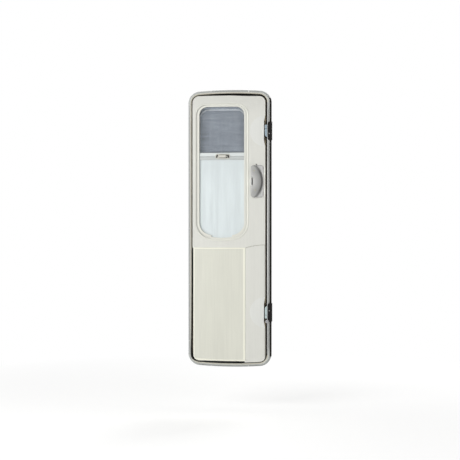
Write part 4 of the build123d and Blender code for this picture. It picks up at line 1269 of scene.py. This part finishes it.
class DOOR_OT_latches(bpy.types.Operator):
    """Finishes the keepers, strikers and latch cases, and adds the keepers' screws and a roller"""

    bl_idname = "door.latches"
    bl_label = "Latches"

    def execute(self, context):
        shown, size = colours(), sizes()
        black = moulding("keeper_black", shown.keeper, gloss=0.55, shine=0.15)
        steel = drawn_metal("latch_steel", shown.steel, metallic=0.9, gloss=0.34)
        dark = drawn_metal("latch_case", shade_shown(shown.steel, 0.35), metallic=0.6, gloss=0.4)
        screw = pan_screw(size.screw_r, size.screw_t)
        # Plating colours: the upper carries a painted reflection, the lower a painted highlight.
        chromes = (shown.chrome, shown.highlit_chrome)
        rises = (size.upper_rise, size.lower_rise)
        splits = (high("upper_striker").z - size.upper_split, low("lower_striker").z + size.lower_split)
        for level, chrome, rise, split_z in zip(LEVELS, chromes, rises, splits):
            keeper = f"{level}_keeper"
            dress(black, keeper, f"{level}_striker_seat")
            dress(plated(f"{level}_chrome", chrome, split_z, size.split_w), f"{level}_striker")
            dress(dark, f"{level}_latch_case")
            places = [(low(keeper).x + size.keeper_in, middle(keeper).z + rise)]
            fit_screws(keeper, screw, places, ROOM, FRAME_BODY, steel)
        remove(screw)
        roller_x = high("lower_striker").x + size.roller_past
        roller_z = low("lower_striker").z - size.roller_drop
        centre = Vector((roller_x, LIP_Y, roller_z))
        finish = roller_plastic("roller", shown.roller, centre, size.roller_r * 0.3)
        settle(self.roller(size, centre), "lower_latch_roller", FRAME_BODY, finish)
        return {"FINISHED"}

    def roller(self, size, centre):
        """A round roller that stands on the lip, with a rounded rim, a dished face and a pin."""
        radius, depth = size.roller_r, size.roller_t
        start = centre - Vector((0, depth / 2, 0))
        roller = disc(vertices=40, radius=radius, depth=depth, centre=start)
        pick(roller, facing(ROOM))
        bpy.ops.mesh.bevel(offset=depth * 0.35, segments=4, affect="EDGES")
        pick(roller, facing(ROOM))
        bpy.ops.mesh.inset(thickness=radius * 0.22)
        extrude(0, depth * 0.3, 0)
        bpy.ops.mesh.inset(thickness=radius * 0.14)
        extrude(0, -depth * 0.2, 0)
        pick(roller, facing(OUTDOORS))
        bpy.ops.mesh.inset(thickness=radius * 0.5)
        extrude(0, size.lip_round, 0)
        tidy_mesh(roller)
        return roller


class DOOR_OT_hinges(bpy.types.Operator):
    """Finishes the hinges and adds the screws of their straps"""

    bl_idname = "door.hinges"
    bl_label = "Hinges"

    def execute(self, context):
        shown, size = colours(), sizes()
        paint = moulding("hinge_white", shown.hinge, gloss=0.3)
        steel = drawn_metal("pin_steel", shown.steel, metallic=0.9, gloss=0.3)
        screw = pan_screw(size.screw_r, size.screw_t)
        for level in LEVELS:
            strap = f"{level}_hinge_strap"
            dress(paint, strap, f"{level}_hinge_bracket")
            dress(steel, f"{level}_hinge_pin")
            screw_x = high(strap).x - size.screw_in
            reach = span(strap).z * size.strap_reach
            places = [(screw_x, middle(strap).z + side * reach) for side in (-1, 0, 1)]
            fit_screws(strap, screw, places, OUTDOORS, LEAF_BODY, steel)
        remove(screw)
        return {"FINISHED"}


class DOOR_OT_stage(bpy.types.Operator):
    """Sets the floor, the lights and the camera"""

    bl_idname = "door.stage"
    bl_label = "Stage"

    def execute(self, context):
        stage = context.scene.door_stage
        context.scene.view_settings.view_transform = "Standard"
        self.floor(stage)
        self.world(stage)
        for name, (offset, width) in LAMPS.items():
            self.lamp(f"{name}_light", offset, width, getattr(stage, f"{name}_power"))
        self.camera(stage)
        return {"FINISHED"}

    def floor(self, stage):
        """A wide plain floor that keeps a soft shadow near the door and turns white far from it."""
        leave_edit()
        floor_z = CAD_BOX[0][2] - stage.floor_drop
        bpy.ops.mesh.primitive_plane_add(size=stage.floor_w, location=(0, 0, floor_z))
        floor = bpy.context.object
        floor.name = "studio_floor"
        finish = Finish("studio_floor", roughness=0.9, specular_ior_level=0.1)
        finish.paint(finish.tones(finish.cloud(2), colours().floor, 0.99, 1.01))
        inputs = {0: finish.place()}
        away = finish.node("ShaderNodeVectorMath", {"operation": "LENGTH"}, inputs, output="Value")
        far = finish.spread(away, stage.floor_near, stage.floor_far)
        seen = self.seen_directly(finish)
        glow = finish.blend(seen, (0, 0, 0, 1), (stage.floor_glow,) * 3 + (1,))
        lit = Wire(finish, finish.shader.outputs[0])
        close = finish.node("ShaderNodeAddShader", inputs={0: lit, 1: self.emission(finish, glow)})
        white = self.emission(finish, (1, 1, 1, 1))
        mixed = finish.node("ShaderNodeMixShader", inputs={0: seen * far, 1: close, 2: white})
        finish.join(finish.tree.nodes["Material Output"].inputs[0], mixed)
        floor.data.materials.append(finish.material)

    def emission(self, finish, shown):
        return finish.node("ShaderNodeEmission", inputs={"Color": shown, "Strength": 1.0})

    def seen_directly(self, nodes):
        """1 for what the camera sees, also in a mirror or through a pane."""
        kinds = ("Is Camera Ray", "Is Glossy Ray", "Is Transmission Ray")
        camera, glossy, through = (nodes.node("ShaderNodeLightPath", output=kind) for kind in kinds)
        return nodes.maths("MINIMUM", camera + glossy + through, 1.0)

    def world(self, stage):
        """White where it is seen, and an even light elsewhere."""
        made = bpy.data.worlds.new("studio")
        made.use_nodes = True
        bpy.context.scene.world = made
        background = made.node_tree.nodes["Background"]
        background.inputs["Color"].default_value = (1, 1, 1, 1)
        nodes = Nodes(made.node_tree)
        strength = self.seen_directly(nodes) * (1 - stage.world_light) + stage.world_light
        nodes.join(background.inputs["Strength"], strength)

    def lamp(self, name, offset, width, power):
        """A square soft lamp aimed at the middle of the door."""
        data = bpy.data.lights.new(name, "AREA")
        data.size = width
        data.energy = power
        lamp = bpy.data.objects.new(name, data)
        bpy.context.collection.objects.link(lamp)
        lamp.location = Vector((0, LIP_Y, MID_Z)) + offset
        lamp.rotation_euler = (-offset).to_track_quat("-Z", "Y").to_euler()

    def camera(self, stage):
        """A long lens, a little to the right of straight on."""
        data = bpy.data.cameras.new("camera")
        data.sensor_width = stage.sensor_w
        data.lens = data.sensor_width * stage.distance / stage.view_w
        camera = bpy.data.objects.new("camera", data)
        bpy.context.collection.objects.link(camera)
        aim = Vector((stage.aim_x, LIP_Y, MID_Z - stage.aim_drop))
        level = cos(stage.elevation)
        back = Vector((sin(stage.azimuth) * level, -cos(stage.azimuth) * level, sin(stage.elevation)))
        camera.location = aim + back * stage.distance
        camera.rotation_euler = (-back).to_track_quat("-Z", "Y").to_euler()
        bpy.context.scene.camera = camera


GROUPS = {"door_sizes": DoorSizes, "door_colours": DoorColours, "door_stage": DoorStage}

OPERATORS = (
    DOOR_OT_frame,
    DOOR_OT_leaf,
    DOOR_OT_window,
    DOOR_OT_flyscreen,
    DOOR_OT_blind,
    DOOR_OT_blind_bars,
    DOOR_OT_handles,
    DOOR_OT_latches,
    DOOR_OT_hinges,
    DOOR_OT_stage,
)


class DOOR_PT_panel(bpy.types.Panel):
    """Lists the door's pieces and their settings"""

    bl_idname = "DOOR_PT_panel"
    bl_label = "Caravan Entry Door"
    bl_space_type = "VIEW_3D"
    bl_region_type = "UI"
    bl_category = "Door"

    def draw(self, context):
        for operator in OPERATORS:
            self.layout.operator(operator.bl_idname)
        for group in GROUPS:
            settings = getattr(context.scene, group)
            for name in settings.bl_rna.properties.keys():
                if name not in ("rna_type", "name"):
                    self.layout.prop(settings, name)


def register():
    for made in (*GROUPS.values(), *OPERATORS, DOOR_PT_panel):
        bpy.utils.register_class(made)
    for name, group in GROUPS.items():
        setattr(bpy.types.Scene, name, PointerProperty(type=group))


def unregister():
    for name in GROUPS:
        delattr(bpy.types.Scene, name)
    for made in (DOOR_PT_panel, *reversed(OPERATORS), *reversed(GROUPS.values())):
        bpy.utils.unregister_class(made)


def main():
    register()
    bpy.ops.door.frame()
    bpy.ops.door.leaf()
    bpy.ops.door.window()
    bpy.ops.door.flyscreen()
    bpy.ops.door.blind()
    bpy.ops.door.blind_bars()
    bpy.ops.door.handles()
    bpy.ops.door.latches()
    bpy.ops.door.hinges()
    bpy.ops.door.stage()


if __name__ == "__main__":
    main()
